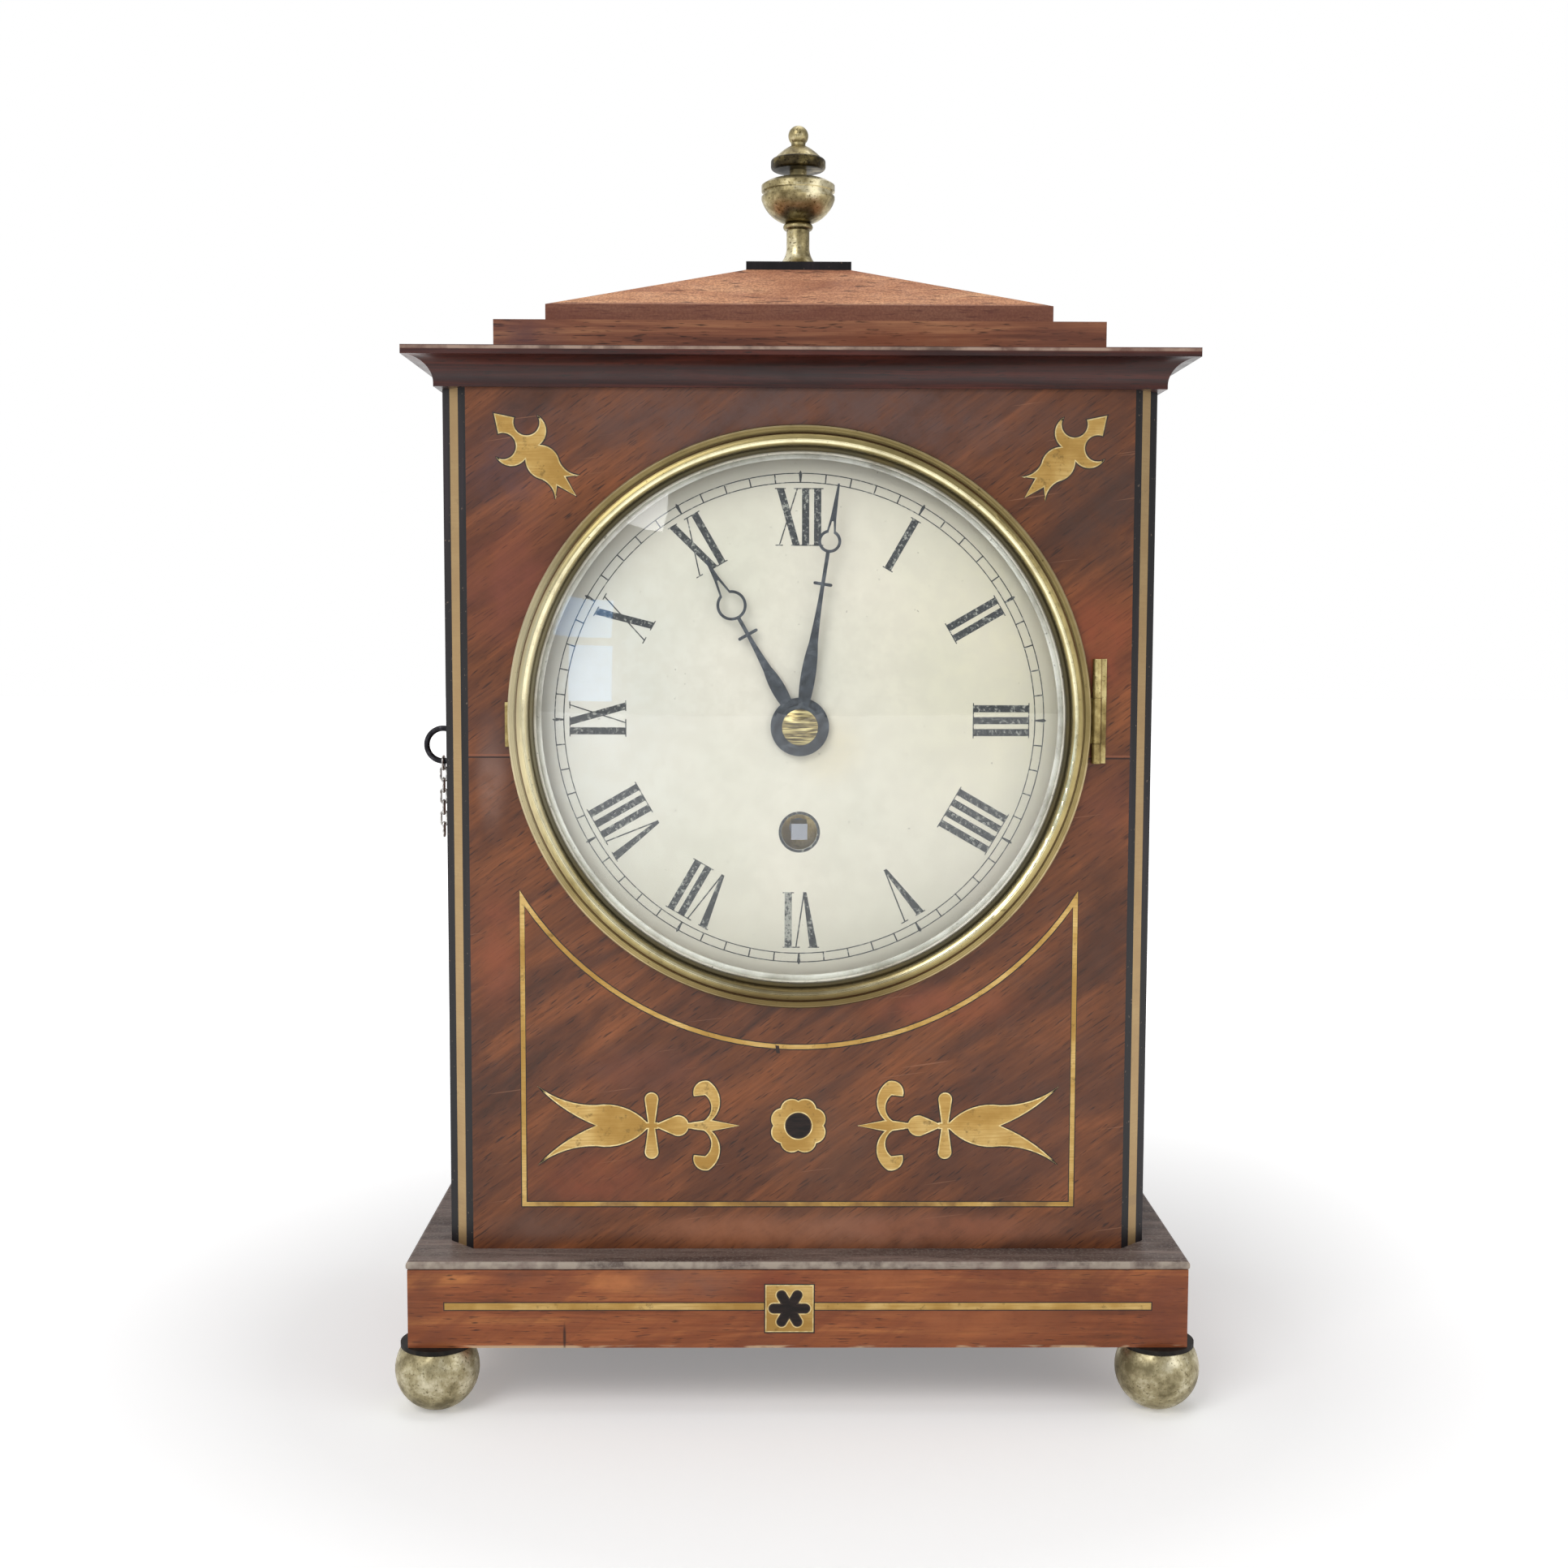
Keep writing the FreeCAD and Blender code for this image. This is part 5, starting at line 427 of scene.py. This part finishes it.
step_wood, tree, sockets, spot, wood = mahogany(
    "Mahogany, faded, waxed", ("#673a2a", "#8e573e", "#ab7251", "#c68c62"), (90.0, 6.0, 5.0),
    roughness=0.5, polish=0.05,
)
wood = stained_and_lit(tree, spot, wood, [
    ((-92, -50, 348), (22, 20, 12), "#6b4644", 0.8), ((36, -50, 347), (40, 20, 6), "#8a4a2c", 0.7),
    ((-64, -50, 343.5), (4, 6, 1.6), "#3a2a30", 0.9), ((84, -50, 350), (30, 20, 8), "#7a4c3c", 0.6),
])
tree.links.new(wood, sockets["Base Color"])
cover(step_wood, "top_step")
roof_wood, tree, sockets, spot, wood = mahogany(
    "Mahogany, faded, open grain", ("#a0684b", "#c08663", "#da9f76", "#efba8e"), (60.0, 60.0, 9.0),
    roughness=0.62, polish=0.0,
)
stipple = add(tree, "TexNoise", {"Vector": spot, "Scale": 1 / 0.8, "Detail": 3.0, "Roughness": 0.7})
stipple = add(tree, "ValToRGB", {"Fac": stipple}, [(0.42, 0.5), (0.58, 0.0)])
wood = add(tree, "Mix", {0: stipple, 6: wood, 7: linear("#7a4836")}, data_type="RGBA")
roof_edge = 357.0
edge_band = patch(tree, spot, (0, 0, roof_edge), (0, 0, 5.2), 0.8, 0.8)
wood = add(tree, "Mix", {0: edge_band, 6: wood, 7: linear("#6a3f36")}, data_type="RGBA")
tree.links.new(wood, sockets["Base Color"])
cover(roof_wood, "roof")

# ---------------------------------------------------------------------------------------------
# Finial: a turned brass urn with a flat collar and a small lid with a ball, screwed through the
# black plinth. The turning lines still show, and the collar is painted nearly black for the shade of
# the recess it sits in.

urn_brass = dulled_brass("Turned brass, aged", "#5f5439", "#9f926b", "#dbd1ae", 0.28)
cover(urn_brass, "finial_urn", "finial_lid")
# The collar's near-black brass is painted shade for its recess.
recess_shaded_brass = dulled_brass("Turned brass, painted recess shade", "#1c1811", "#3a3222", "#7d6f48", 0.34)
cover(recess_shaded_brass, "finial_collar")

# ---------------------------------------------------------------------------------------------
# Bezel: a cast brass ring turned to a ridge between hollows, with a matt inner slope that frames the
# glass. Its colour bands paint a highlight on the ridge and shade in the hollows along with their
# patina, and patches paint shade on its lower side and a reflection at the left. It swings on a small
# hinge at the right and stops on a strike at the left.

bezel_centre, bezel_inside, bezel_outside = 225.2, 83.0, 94.0
bezel_brass, tree, sockets, spot = surface("Turned brass ring, dulled lacquer")
flat = add(tree, "Mapping", {"Vector": spot, "Scale": (1.0, 0.0, 1.0), "Location": (0.0, 0.0, -bezel_centre)})
radius = add(tree, "VectorMath", {0: flat}, out="Value", operation="LENGTH")
across = add(tree, "MapRange", {"Value": radius, "From Min": bezel_inside, "From Max": bezel_outside})
# Bands by radius: the pale band on the ridge is a painted highlight, and the dark bands in the hollows are
# painted shade along with patina.
tone = add(tree, "ValToRGB", {"Fac": across}, [
    (0.0, "#f4f1e6"), (0.18, "#e6e1cf"), (0.20, "#55503f"), (0.35, "#615a44"), (0.37, "#8c8058"),
    (0.41, "#aa9d70"), (0.43, "#e2dab4"), (0.49, "#e2dab4"), (0.53, "#a99a69"), (0.69, "#9a8a5e"),
    (0.72, "#5a4d33"), (0.76, "#5a4d33"), (0.79, "#958458"), (0.90, "#958458"), (0.93, "#b9a77f"),
])
clouds = add(tree, "TexNoise", {"Vector": spot, "Scale": 1 / 16, "Detail": 6.0, "Roughness": 0.65})
clouds = add(tree, "ValToRGB", {"Fac": clouds}, [(0.42, 0.0), (0.68, 0.55)])
tone = add(tree, "Mix", {0: clouds, 6: tone, 7: linear("#6d5f3c")}, data_type="RGBA")
# Painted light on the outer part of the ring: shade on its lower side and a pale reflection of the window at
# the left.
for centre, reach, shade, strength in (
    ((0, 0, 130), (80, 0, 26), "#5a4a2e", 0.75), ((-93, 0, 235), (34, 0, 90), "#ddd4b4", 0.4),
):
    share = patch(tree, spot, centre, reach, 0.2, strength)
    inside = add(tree, "MapRange", {"Value": radius, "From Min": 85.2, "From Max": 87.0})
    share = add(tree, "Math", {0: share, 1: inside}, operation="MULTIPLY")
    tone = add(tree, "Mix", {0: share, 6: tone, 7: linear(shade)}, data_type="RGBA")
spots = add(tree, "TexNoise", {"Vector": spot, "Scale": 1 / 1.3, "Detail": 3.0})
spots = add(tree, "ValToRGB", {"Fac": spots}, [(0.66, 0.0), (0.74, 0.6)])
tone = add(tree, "Mix", {0: spots, 6: tone, 7: linear("#4b4029")}, data_type="RGBA")
tree.links.new(tone, sockets["Base Color"])
matt = add(tree, "ValToRGB", {"Fac": across}, [
    (0.17, 0.55), (0.20, 0.5), (0.36, 0.42), (0.42, 0.2), (0.56, 0.3),
])
tree.links.new(matt, sockets["Roughness"])
metal = add(tree, "ValToRGB", {"Fac": across}, [(0.17, 0.15), (0.20, 1.0)])
tree.links.new(metal, sockets["Metallic"])
turning = add(tree, "Math", {0: radius, 1: 9.0}, operation="MULTIPLY")
turning = add(tree, "Math", {0: turning}, operation="SINE")
relief = add(tree, "Bump", {"Height": turning, "Distance": 0.00001})
tree.links.new(relief, sockets["Normal"])
cover(bezel_brass, "bezel_ring", "glass_retaining_ring")
hinge_brass = dulled_brass("Cast hinge brass, handled", "#75643f", "#9f8d5c", "#c9b984", 0.36)
cover(hinge_brass, "bezel_hinge_leaf", "case_hinge_leaf", "bezel_strike")

# ---------------------------------------------------------------------------------------------
# Glass: a blown convex glass behind the bezel's lip and a flat sheet in the rear door, both
# clear with a trace of grey. Lamps reach what lies behind, as they do through a thin pane. The
# corners at the dome's crown lean in the frame, so the faces' own direction is used there.

clear_glass, tree, sockets, spot = surface(
    "Soda-lime glass, blown and cut", Roughness=0.01, Transmission_Weight=1.0, IOR=1.46,
)
haze = add(tree, "TexNoise", {"Vector": spot, "Scale": 1 / 40, "Detail": 2.0})
haze = add(tree, "ValToRGB", {"Fac": haze}, [(0.3, "#f4f7f6"), (0.7, "#fcfdfd")])
tree.links.new(haze, sockets["Base Color"])
ripple = add(tree, "TexNoise", {"Vector": spot, "Scale": 1 / 60, "Detail": 0.0})
form = add(tree, "NewGeometry", {}, out="Normal").node.outputs
crown = patch(tree, spot, (0, 0, bezel_centre), (9.0, 0, 9.0), 0.9)
form = add(tree, "Mix", {0: crown, 4: form["Normal"], 5: form["True Normal"]}, data_type="VECTOR")
relief = add(tree, "Bump", {"Height": ripple, "Distance": 0.00005, "Strength": 0.3, "Normal": form})
tree.links.new(relief, sockets["Normal"])
lamp_ray = add(tree, "LightPath", {}, out="Is Shadow Ray")
open_pane = add(tree, "BsdfTransparent", {"Color": (0.95, 0.96, 0.96, 1.0)})
pane = add(tree, "MixShader", {0: lamp_ray, 1: tree.nodes["Principled BSDF"].outputs["BSDF"], 2: open_pane})
tree.links.new(pane, tree.nodes["Material Output"].inputs["Surface"])
cover(clear_glass, "bezel_glass", "rear_door_glass")

# ---------------------------------------------------------------------------------------------
# Dial: a shallow dome of iron painted cream and mottled by age, with the hours and the minute
# track drawn on it in thin black paint that has flaked on the broad strokes.

dial_centre, dial_curve, dial_crown, dial_edge = 224.8, 1228.44, -63.0, 86.0
dial_paint, tree, sockets, spot = surface(
    "Oil paint on iron, yellowed", Roughness=0.38, Specular_IOR_Level=0.4,
)
flat = add(tree, "Mapping", {"Vector": spot, "Scale": (1.0, 0.0, 1.0), "Location": (0.0, 0.0, -dial_centre)})
radius = add(tree, "VectorMath", {0: flat}, out="Value", operation="LENGTH")
across = add(tree, "MapRange", {"Value": radius, "From Max": dial_edge})
# The cream greys towards the rim: painted shade under the bezel's lip.
tone = add(tree, "ValToRGB", {"Fac": across}, [
    (0.0, "#dad4c5"), (0.75, "#d5cfbe"), (0.90, "#cbc5b4"), (1.0, "#bdb6a4"),
])
yellowed = patch(tree, spot, (72, -60, 250), (70, 60, 90), 0.0, 0.5)
tone = add(tree, "Mix", {0: yellowed, 6: tone, 7: linear("#d4ccaa")}, data_type="RGBA")
cooled = patch(tree, spot, (-70, -60, 235), (60, 60, 90), 0.0, 0.6)
tone = add(tree, "Mix", {0: cooled, 6: tone, 7: linear("#d3d3ce")}, data_type="RGBA")
rust = patch(tree, spot, (9, -60, 216), (16, 60, 16), 0.2, 0.45)
tone = add(tree, "Mix", {0: rust, 6: tone, 7: linear("#d6c7a6")}, data_type="RGBA")
mottle = add(tree, "TexNoise", {"Vector": spot, "Scale": 1 / 7, "Detail": 6.0, "Roughness": 0.7})
mottle = add(tree, "ValToRGB", {"Fac": mottle}, [(0.42, 0.35), (0.60, 0.0)])
tone = add(tree, "Mix", {0: mottle, 6: tone, 7: linear("#c7c0b0")}, data_type="RGBA")
fly_spots = add(tree, "TexNoise", {"Vector": spot, "Scale": 1 / 1.1, "Detail": 1.0})
fly_spots = add(tree, "ValToRGB", {"Fac": fly_spots}, [(0.77, 0.0), (0.80, 0.6)])
tone = add(tree, "Mix", {0: fly_spots, 6: tone, 7: linear("#817968")}, data_type="RGBA")
tree.links.new(tone, sockets["Base Color"])
relief = add(tree, "Bump", {"Height": mottle, "Distance": 0.00001})
tree.links.new(relief, sockets["Normal"])
cover(dial_paint, "dial")

dial_black, tree, sockets, spot = surface("Lamp black paint, flaked", Roughness=0.6, Specular_IOR_Level=0.25)
flakes = add(tree, "TexNoise", {"Vector": spot, "Scale": 1 / 1.1, "Detail": 4.0, "Roughness": 0.7})
worn_stroke = patch(tree, spot, (-4.3, 0, dial_centre - 65.1), (3.6, 0, 14), 0.5, 0.12)
flakes = add(tree, "Math", {0: flakes, 1: worn_stroke}, operation="ADD")
tone = add(tree, "ValToRGB", {"Fac": flakes}, [(0.45, "#1f2326"), (0.55, "#33373a"), (0.62, "#9a9a90")])
tree.links.new(tone, sockets["Base Color"])


def on_dial(along, up, lift=0.05):
    """Points a lift in front of the dial's dome. With r the distance from its centre, the dome is
    its crown plus (curve - square root of (curve squared - r squared))."""
    sag = dial_curve - np.sqrt(dial_curve ** 2 - along ** 2 - up ** 2)
    return np.stack([along, dial_crown - lift + sag, dial_centre + up], axis=-1) / 1000


def strokes(marks, turns, steps=5):
    """Painted strokes. Each mark is (bottom x, bottom radius, top x, top radius, bottom width, top
    width): its middle runs straight between the two ends and its width changes evenly. A mark turns
    about the dial's centre by its own angle, clockwise from XII."""
    marks, turns = np.array(marks, float), np.radians(np.array(turns, float))[:, None, None]
    x0, r0, x1, r1, w0, w1 = (marks[:, i, None, None] for i in range(6))
    t = np.linspace(0, 1, steps + 1)[None, :, None]
    side = np.array([-0.5, 0.5])[None, None, :]
    x = x0 + (x1 - x0) * t + (w0 + (w1 - w0) * t) * side
    r = r0 + (r1 - r0) * t + 0 * side
    points = on_dial(x * np.cos(turns) + r * np.sin(turns), r * np.cos(turns) - x * np.sin(turns))
    row = np.arange(len(marks) * (steps + 1) * 2).reshape(len(marks), steps + 1, 2)
    faces = np.stack([row[:, :-1, 0], row[:, :-1, 1], row[:, 1:, 1], row[:, 1:, 0]], -1).reshape(-1, 4)
    return points.reshape(-1, 3), faces


foot, head, thick, thin, serif = 55.9, 74.3, 2.3, 0.42, 0.34
letters = {
    "I": (3.85, [(0, foot, 0, head, thick, thick),
                 (0, foot, 0, foot + serif, 3.7, 3.7), (0, head - serif, 0, head, 3.7, 3.7)]),
    "V": (7.0, [(0.1, foot, -2.9, head, 1.1, 2.6), (0.3, foot, 2.9, head, thin, thin),
                (-2.9, head - serif, -2.9, head, 3.6, 3.6), (2.9, head - serif, 2.9, head, 2.6, 2.6)]),
    "X": (7.2, [(2.6, foot, -2.6, head, thick, thick), (-2.9, foot, 2.9, head, thin, thin),
                (2.6, foot, 2.6, foot + serif, 3.4, 3.4), (-2.9, foot, -2.9, foot + serif, 2.4, 2.4),
                (-2.6, head - serif, -2.6, head, 3.4, 3.4), (2.9, head - serif, 2.9, head, 2.4, 2.4)]),
}
marks, turns = [], []
for hour, numeral in enumerate(["XII", "I", "II", "III", "IIII", "V", "VI", "VII", "VIII", "IX", "X", "XI"]):
    place = -sum(letters[letter][0] for letter in numeral) / 2
    for letter in numeral:
        width, lines = letters[letter]
        place += width / 2
        marks += [(x0 + place, r0, x1 + place, r1, w0, w1) for x0, r0, x1, r1, w0, w1 in lines]
        turns += [30 * hour] * len(lines)
        place += width / 2
points, faces = strokes(marks, turns)
piece("hour_numerals", points, faces, dial_black, "case")

track_inside, track_outside, track_line = 76.1, 79.0, 0.32
minutes = np.arange(60)
fives = minutes % 5 == 0
marks = [
    (0, track_inside, 0, track_outside, 0.5 if five else 0.42, 1.1 if five else 0.42) for five in fives
]
marks += [(0, track_outside, 0, track_outside + 0.8, 1.1, 0.2)] * 12
points, faces = strokes(marks, np.concatenate([minutes * 6, np.arange(12) * 30]), steps=1)
piece("minute_marks", points, faces, dial_black, "case")
around = np.linspace(0, 2 * math.pi, 361)[:-1]
rings = []
for ring in (track_inside, track_outside):
    for r in (ring - track_line / 2, ring + track_line / 2):
        rings.append(on_dial(r * np.sin(around), r * np.cos(around)))
row = np.arange(360)
after = (row + 1) % 360
faces = np.stack([row, row + 360, after + 360, after], 1)[:, ::-1]
faces = np.concatenate([faces + start for start in (0, 720)])
piece("minute_rings", np.concatenate(rings), faces, dial_black, "case")
winding_drop = 36.2
turned = np.linspace(0, 2 * math.pi, 97)[:-1]
hole = [on_dial(r * np.sin(turned), r * np.cos(turned) - winding_drop) for r in (5.82, 6.7)]
row = np.arange(96)
after = (row + 1) % 96
faces = np.stack([row, row + 96, after + 96, after], 1)[:, ::-1]
piece("winding_hole_wear", np.concatenate(hole), faces, dial_black, "case")

# ---------------------------------------------------------------------------------------------
# Hands: sheet steel filed to a ring and spear, hardened, polished and blued, now nearly grey.
# The brass cap that holds them is domed and scratched by the tools that took it off.

hand_steel, tree, sockets, spot = surface("Sheet steel, blued, greyed", Metallic=0.75)
rubbed = add(tree, "TexNoise", {"Vector": spot, "Scale": 1 / 3, "Detail": 6.0, "Roughness": 0.7})
tone = add(tree, "ValToRGB", {"Fac": rubbed}, [(0.36, "#23282f"), (0.52, "#373d45"), (0.68, "#5b6066")])
tree.links.new(tone, sockets["Base Color"])
dull = add(tree, "ValToRGB", {"Fac": rubbed}, [(0.4, 0.5), (0.6, 0.34)])
tree.links.new(dull, sockets["Roughness"])
relief = add(tree, "Bump", {"Height": rubbed, "Distance": 0.00003})
tree.links.new(relief, sockets["Normal"])
cover(hand_steel, "minute_hand", "hour_hand")

cap_brass, tree, sockets, spot = surface("Turned brass, scratched", Metallic=1.0, Roughness=0.36)
scratches = add(tree, "Mapping", {"Vector": spot, "Scale": per(6, 6, 0.5)})
scratches = add(tree, "TexNoise", {"Vector": scratches, "Scale": 1.0, "Detail": 3.0})
tone = add(tree, "ValToRGB", {"Fac": scratches}, [(0.40, "#5b4f37"), (0.50, "#9d8c5f"), (0.62, "#d8c992")])
tree.links.new(tone, sockets["Base Color"])
relief = add(tree, "Bump", {"Height": scratches, "Distance": 0.00006})
tree.links.new(relief, sockets["Normal"])
cover(cap_brass, "hand_cap")

# ---------------------------------------------------------------------------------------------
# Movement: plates, wheels, fusee and barrel of hammered sheet and cast brass, once gilt lacquered,
# with steel arbors, pallets, spring and chain filed bright and oiled.

plate_brass = dulled_brass("Sheet brass, grained and lacquered", "#9c8450", "#b59b61", "#ceb87e", 0.3)
cover(plate_brass, "front_plate", "back_plate", "pillars", "back_cock")
wheel_brass = dulled_brass("Sheet brass, cut and crossed out", "#a48a54", "#bfa467", "#d8c38b", 0.26)
cover(wheel_brass, "great_wheel", "centre_wheel", "third_wheel", "escape_wheel", "barrel",
      "cannon_wheel", "hour_wheel", "minute_wheel")
fusee_brass, tree, sockets, spot = surface("Cast brass on a steel arbor", Metallic=1.0, Roughness=0.3)
tone = add(tree, "TexNoise", {"Vector": spot, "Scale": 1 / 8, "Detail": 5.0})
tone = add(tree, "ValToRGB", {"Fac": tone}, [(0.36, "#a48a54"), (0.5, "#bfa467"), (0.64, "#d8c38b")])
arbor = patch(tree, spot, (0, 0, dial_centre - winding_drop), (5.4, 0, 5.4), 0.85)
tone = add(tree, "Mix", {0: arbor, 6: tone, 7: linear("#8d8f96")}, data_type="RGBA")
tree.links.new(tone, sockets["Base Color"])
cover(fusee_brass, "fusee")
bright_steel, tree, sockets, spot = surface("Tool steel, filed and oiled", Metallic=1.0)
lines = add(tree, "Mapping", {"Vector": spot, "Scale": per(8, 0.6, 8)})
lines = add(tree, "TexNoise", {"Vector": lines, "Scale": 1.0, "Detail": 4.0})
tone = add(tree, "ValToRGB", {"Fac": lines}, [(0.35, "#5d5d5e"), (0.5, "#8a8a89"), (0.66, "#b3b2ae")])
tree.links.new(tone, sockets["Base Color"])
dull = add(tree, "ValToRGB", {"Fac": lines}, [(0.35, 0.42), (0.65, 0.25)])
tree.links.new(dull, sockets["Roughness"])
cover(bright_steel, "barrel_arbor", "mainspring", "fusee_chain", "pallets", "pendulum_rod")

# ---------------------------------------------------------------------------------------------
# Pendulum: a steel rod on a strip of spring, with a turned brass bob that a knurled nut lifts.

bob_brass = dulled_brass("Turned brass bob, lacquered", "#97804c", "#b79b5e", "#d5c085", 0.24)
cover(bob_brass, "pendulum_bob", "rating_nut")

# ---------------------------------------------------------------------------------------------
# Rear door: a mahogany frame round a sheet of glass, on two brass butt hinges, held shut by a
# brass turn catch whose arm goes behind the frame.

cover(side_veneer, "rear_door")
cover(hinge_brass, "rear_hinge_door_leaves", "rear_hinge_case_leaves", "door_catch")

# ---------------------------------------------------------------------------------------------
# Side lock: an iron box lock let into the left side, with a black forged key that stays in it.
# A thin silver chain hangs from the ring of the key.

key_iron, tree, sockets, spot = surface("Iron, forged and blackened", Metallic=0.7)
scale_skin = add(tree, "TexNoise", {"Vector": spot, "Scale": 1 / 1.5, "Detail": 5.0})
tone = add(tree, "ValToRGB", {"Fac": scale_skin}, [(0.35, "#17161a"), (0.55, "#28272c"), (0.7, "#4a484c")])
tree.links.new(tone, sockets["Base Color"])
dull = add(tree, "ValToRGB", {"Fac": scale_skin}, [(0.35, 0.55), (0.7, 0.34)])
tree.links.new(dull, sockets["Roughness"])
relief = add(tree, "Bump", {"Height": scale_skin, "Distance": 0.00005})
tree.links.new(relief, sockets["Normal"])
cover(key_iron, "key", "lock_case", "lock_bolt")
chain_silver, tree, sockets, spot = surface("Silver wire, drawn, tarnished", Metallic=1.0, Roughness=0.3)
tone = add(tree, "TexNoise", {"Vector": spot, "Scale": 1 / 1.2, "Detail": 3.0})
tone = add(tree, "ValToRGB", {"Fac": tone}, [(0.38, "#8a8683"), (0.55, "#c4c2be"), (0.7, "#e6e5e1")])
tree.links.new(tone, sockets["Base Color"])
cover(chain_silver, "key_chain")

# ---------------------------------------------------------------------------------------------
# Studio: a white sweep of floor, soft light from the upper left front, a weaker fill from the
# right, and two small blue panes that only show as the window in the glass. The camera sees the
# floor and the world as plain white, and the floor keeps the shadow.

reach = 6.0
corners = np.array([(-reach, -reach), (reach, -reach), (reach, reach), (-reach, reach)])
floor_mesh = bpy.data.meshes.new("floor")
floor_mesh.from_pydata([(x, y, 0.0) for x, y in corners.tolist()], [], [(0, 1, 2, 3)])
floor = bpy.data.objects.new("floor", floor_mesh)
bpy.context.scene.collection.objects.link(floor)
paper, tree, sockets, spot = surface("Paper sweep, matt white", Roughness=0.9, Specular_IOR_Level=0.1)
tone = add(tree, "TexNoise", {"Vector": spot, "Scale": 1 / 900})
tone = add(tree, "ValToRGB", {"Fac": tone}, [(0.3, "#f3f3f3"), (0.7, "#f6f6f6")])
tree.links.new(tone, sockets["Base Color"])
rays = add(tree, "LightPath", {}, out="Is Camera Ray").node.outputs
seen = add(tree, "Math", {0: rays["Is Camera Ray"], 1: rays["Is Transmission Ray"]}, operation="MAXIMUM")
seen = add(tree, "Math", {0: seen, 1: rays["Is Glossy Ray"]}, operation="MAXIMUM")
away = add(tree, "VectorMath", {0: spot}, out="Value", operation="LENGTH")
away = add(tree, "MapRange", {
    "Value": away, "From Min": 180.0, "From Max": 620.0, "To Min": 0.24, "To Max": 1.0,
})
glow = add(tree, "Math", {0: seen, 1: away}, operation="MULTIPLY")
tree.links.new(glow, sockets["Emission Strength"])
sockets["Emission Color"].default_value = (1.0, 1.0, 1.0, 1.0)
floor_mesh.materials.append(paper)

world = bpy.data.worlds.new("studio")
bpy.context.scene.world = world
world.use_nodes = True
tree = world.node_tree
rays = add(tree, "LightPath", {}, out="Is Camera Ray").node.outputs
seen = add(tree, "Math", {0: rays["Is Camera Ray"], 1: rays["Is Transmission Ray"]}, operation="MAXIMUM")
heading = add(tree, "TexCoord", {}, out="Generated")
heading = add(tree, "Mapping", {"Vector": heading, "Rotation": (0.0, 0.0, math.radians(35))})
heading = add(tree, "SeparateXYZ", {"Vector": heading}, out="X")
room = add(tree, "MapRange", {
    "Value": heading, "From Min": -0.8, "From Max": 0.8, "To Min": 1.0, "To Max": 0.25,
})
room = add(tree, "Math", {0: room, 1: rays["Is Glossy Ray"]}, operation="MULTIPLY")
seen = add(tree, "Math", {0: seen, 1: room}, operation="MAXIMUM")
strength = add(tree, "MapRange", {"Value": seen, "To Min": 0.36, "To Max": 1.0})
back = tree.nodes["Background"].inputs
back["Color"].default_value = (1.0, 1.0, 1.0, 1.0)
tree.links.new(strength, back["Strength"])


def softbox(name, place, target, width, height, watts):
    """Rectangular lamp that stands at a place and looks at a target, all in metres."""
    lamp = bpy.data.lights.new(name, "AREA")
    lamp.shape, lamp.size, lamp.size_y, lamp.energy = "RECTANGLE", width, height, watts
    lamp_object = bpy.data.objects.new(name, lamp)
    bpy.context.scene.collection.objects.link(lamp_object)
    aim = Vector(target) - Vector(place)
    turned_to = aim.to_track_quat("-Z", "Y").to_matrix().to_4x4()
    lamp_object.matrix_world = Matrix.Translation(place) @ turned_to


softbox("key_light", (-0.75, -1.15, 1.25), (0.0, 0.0, 0.2), 0.9, 0.9, 11)
softbox("fill_light", (1.2, -0.9, 0.7), (0.0, 0.0, 0.2), 1.0, 1.0, 3.6)
softbox("top_light", (0.1, 0.1, 1.5), (0.0, 0.0, 0.3), 1.0, 1.0, 4.5)
softbox("window_upper_pane", (-0.60, -1.15, 0.46), (0.0, 0.0, 0.24), 0.16, 0.11, 0.12)
softbox("window_lower_pane", (-0.58, -1.15, 0.30), (0.0, 0.0, 0.24), 0.13, 0.16, 0.15)
for pane in ("window_upper_pane", "window_lower_pane"):
    bpy.data.lights[pane].color = (0.12, 0.45, 1.0)

camera = bpy.data.cameras.new("camera")
camera.lens, camera.sensor_width = 44.72, 36.0
camera.clip_start = 0.01
camera_object = bpy.data.objects.new("camera", camera)
bpy.context.scene.collection.objects.link(camera_object)
turn, pitch, roll = 0.010, 0.082, 0.003
ahead = Vector((math.sin(turn) * math.cos(pitch), math.cos(turn) * math.cos(pitch), -math.sin(pitch)))
level = ahead.cross(Vector((0, 0, 1))).normalized()
upward = level.cross(ahead)
right = level * math.cos(roll) + upward * math.sin(roll)
upward = upward * math.cos(roll) - level * math.sin(roll)
axes = Matrix((right, upward, -ahead)).transposed().to_4x4()
eye = (-0.01129, -0.6909, 0.2558)
camera_object.matrix_world = Matrix.Translation(eye) @ axes
bpy.context.scene.camera = camera_object
bpy.context.scene.view_settings.view_transform = "Standard"
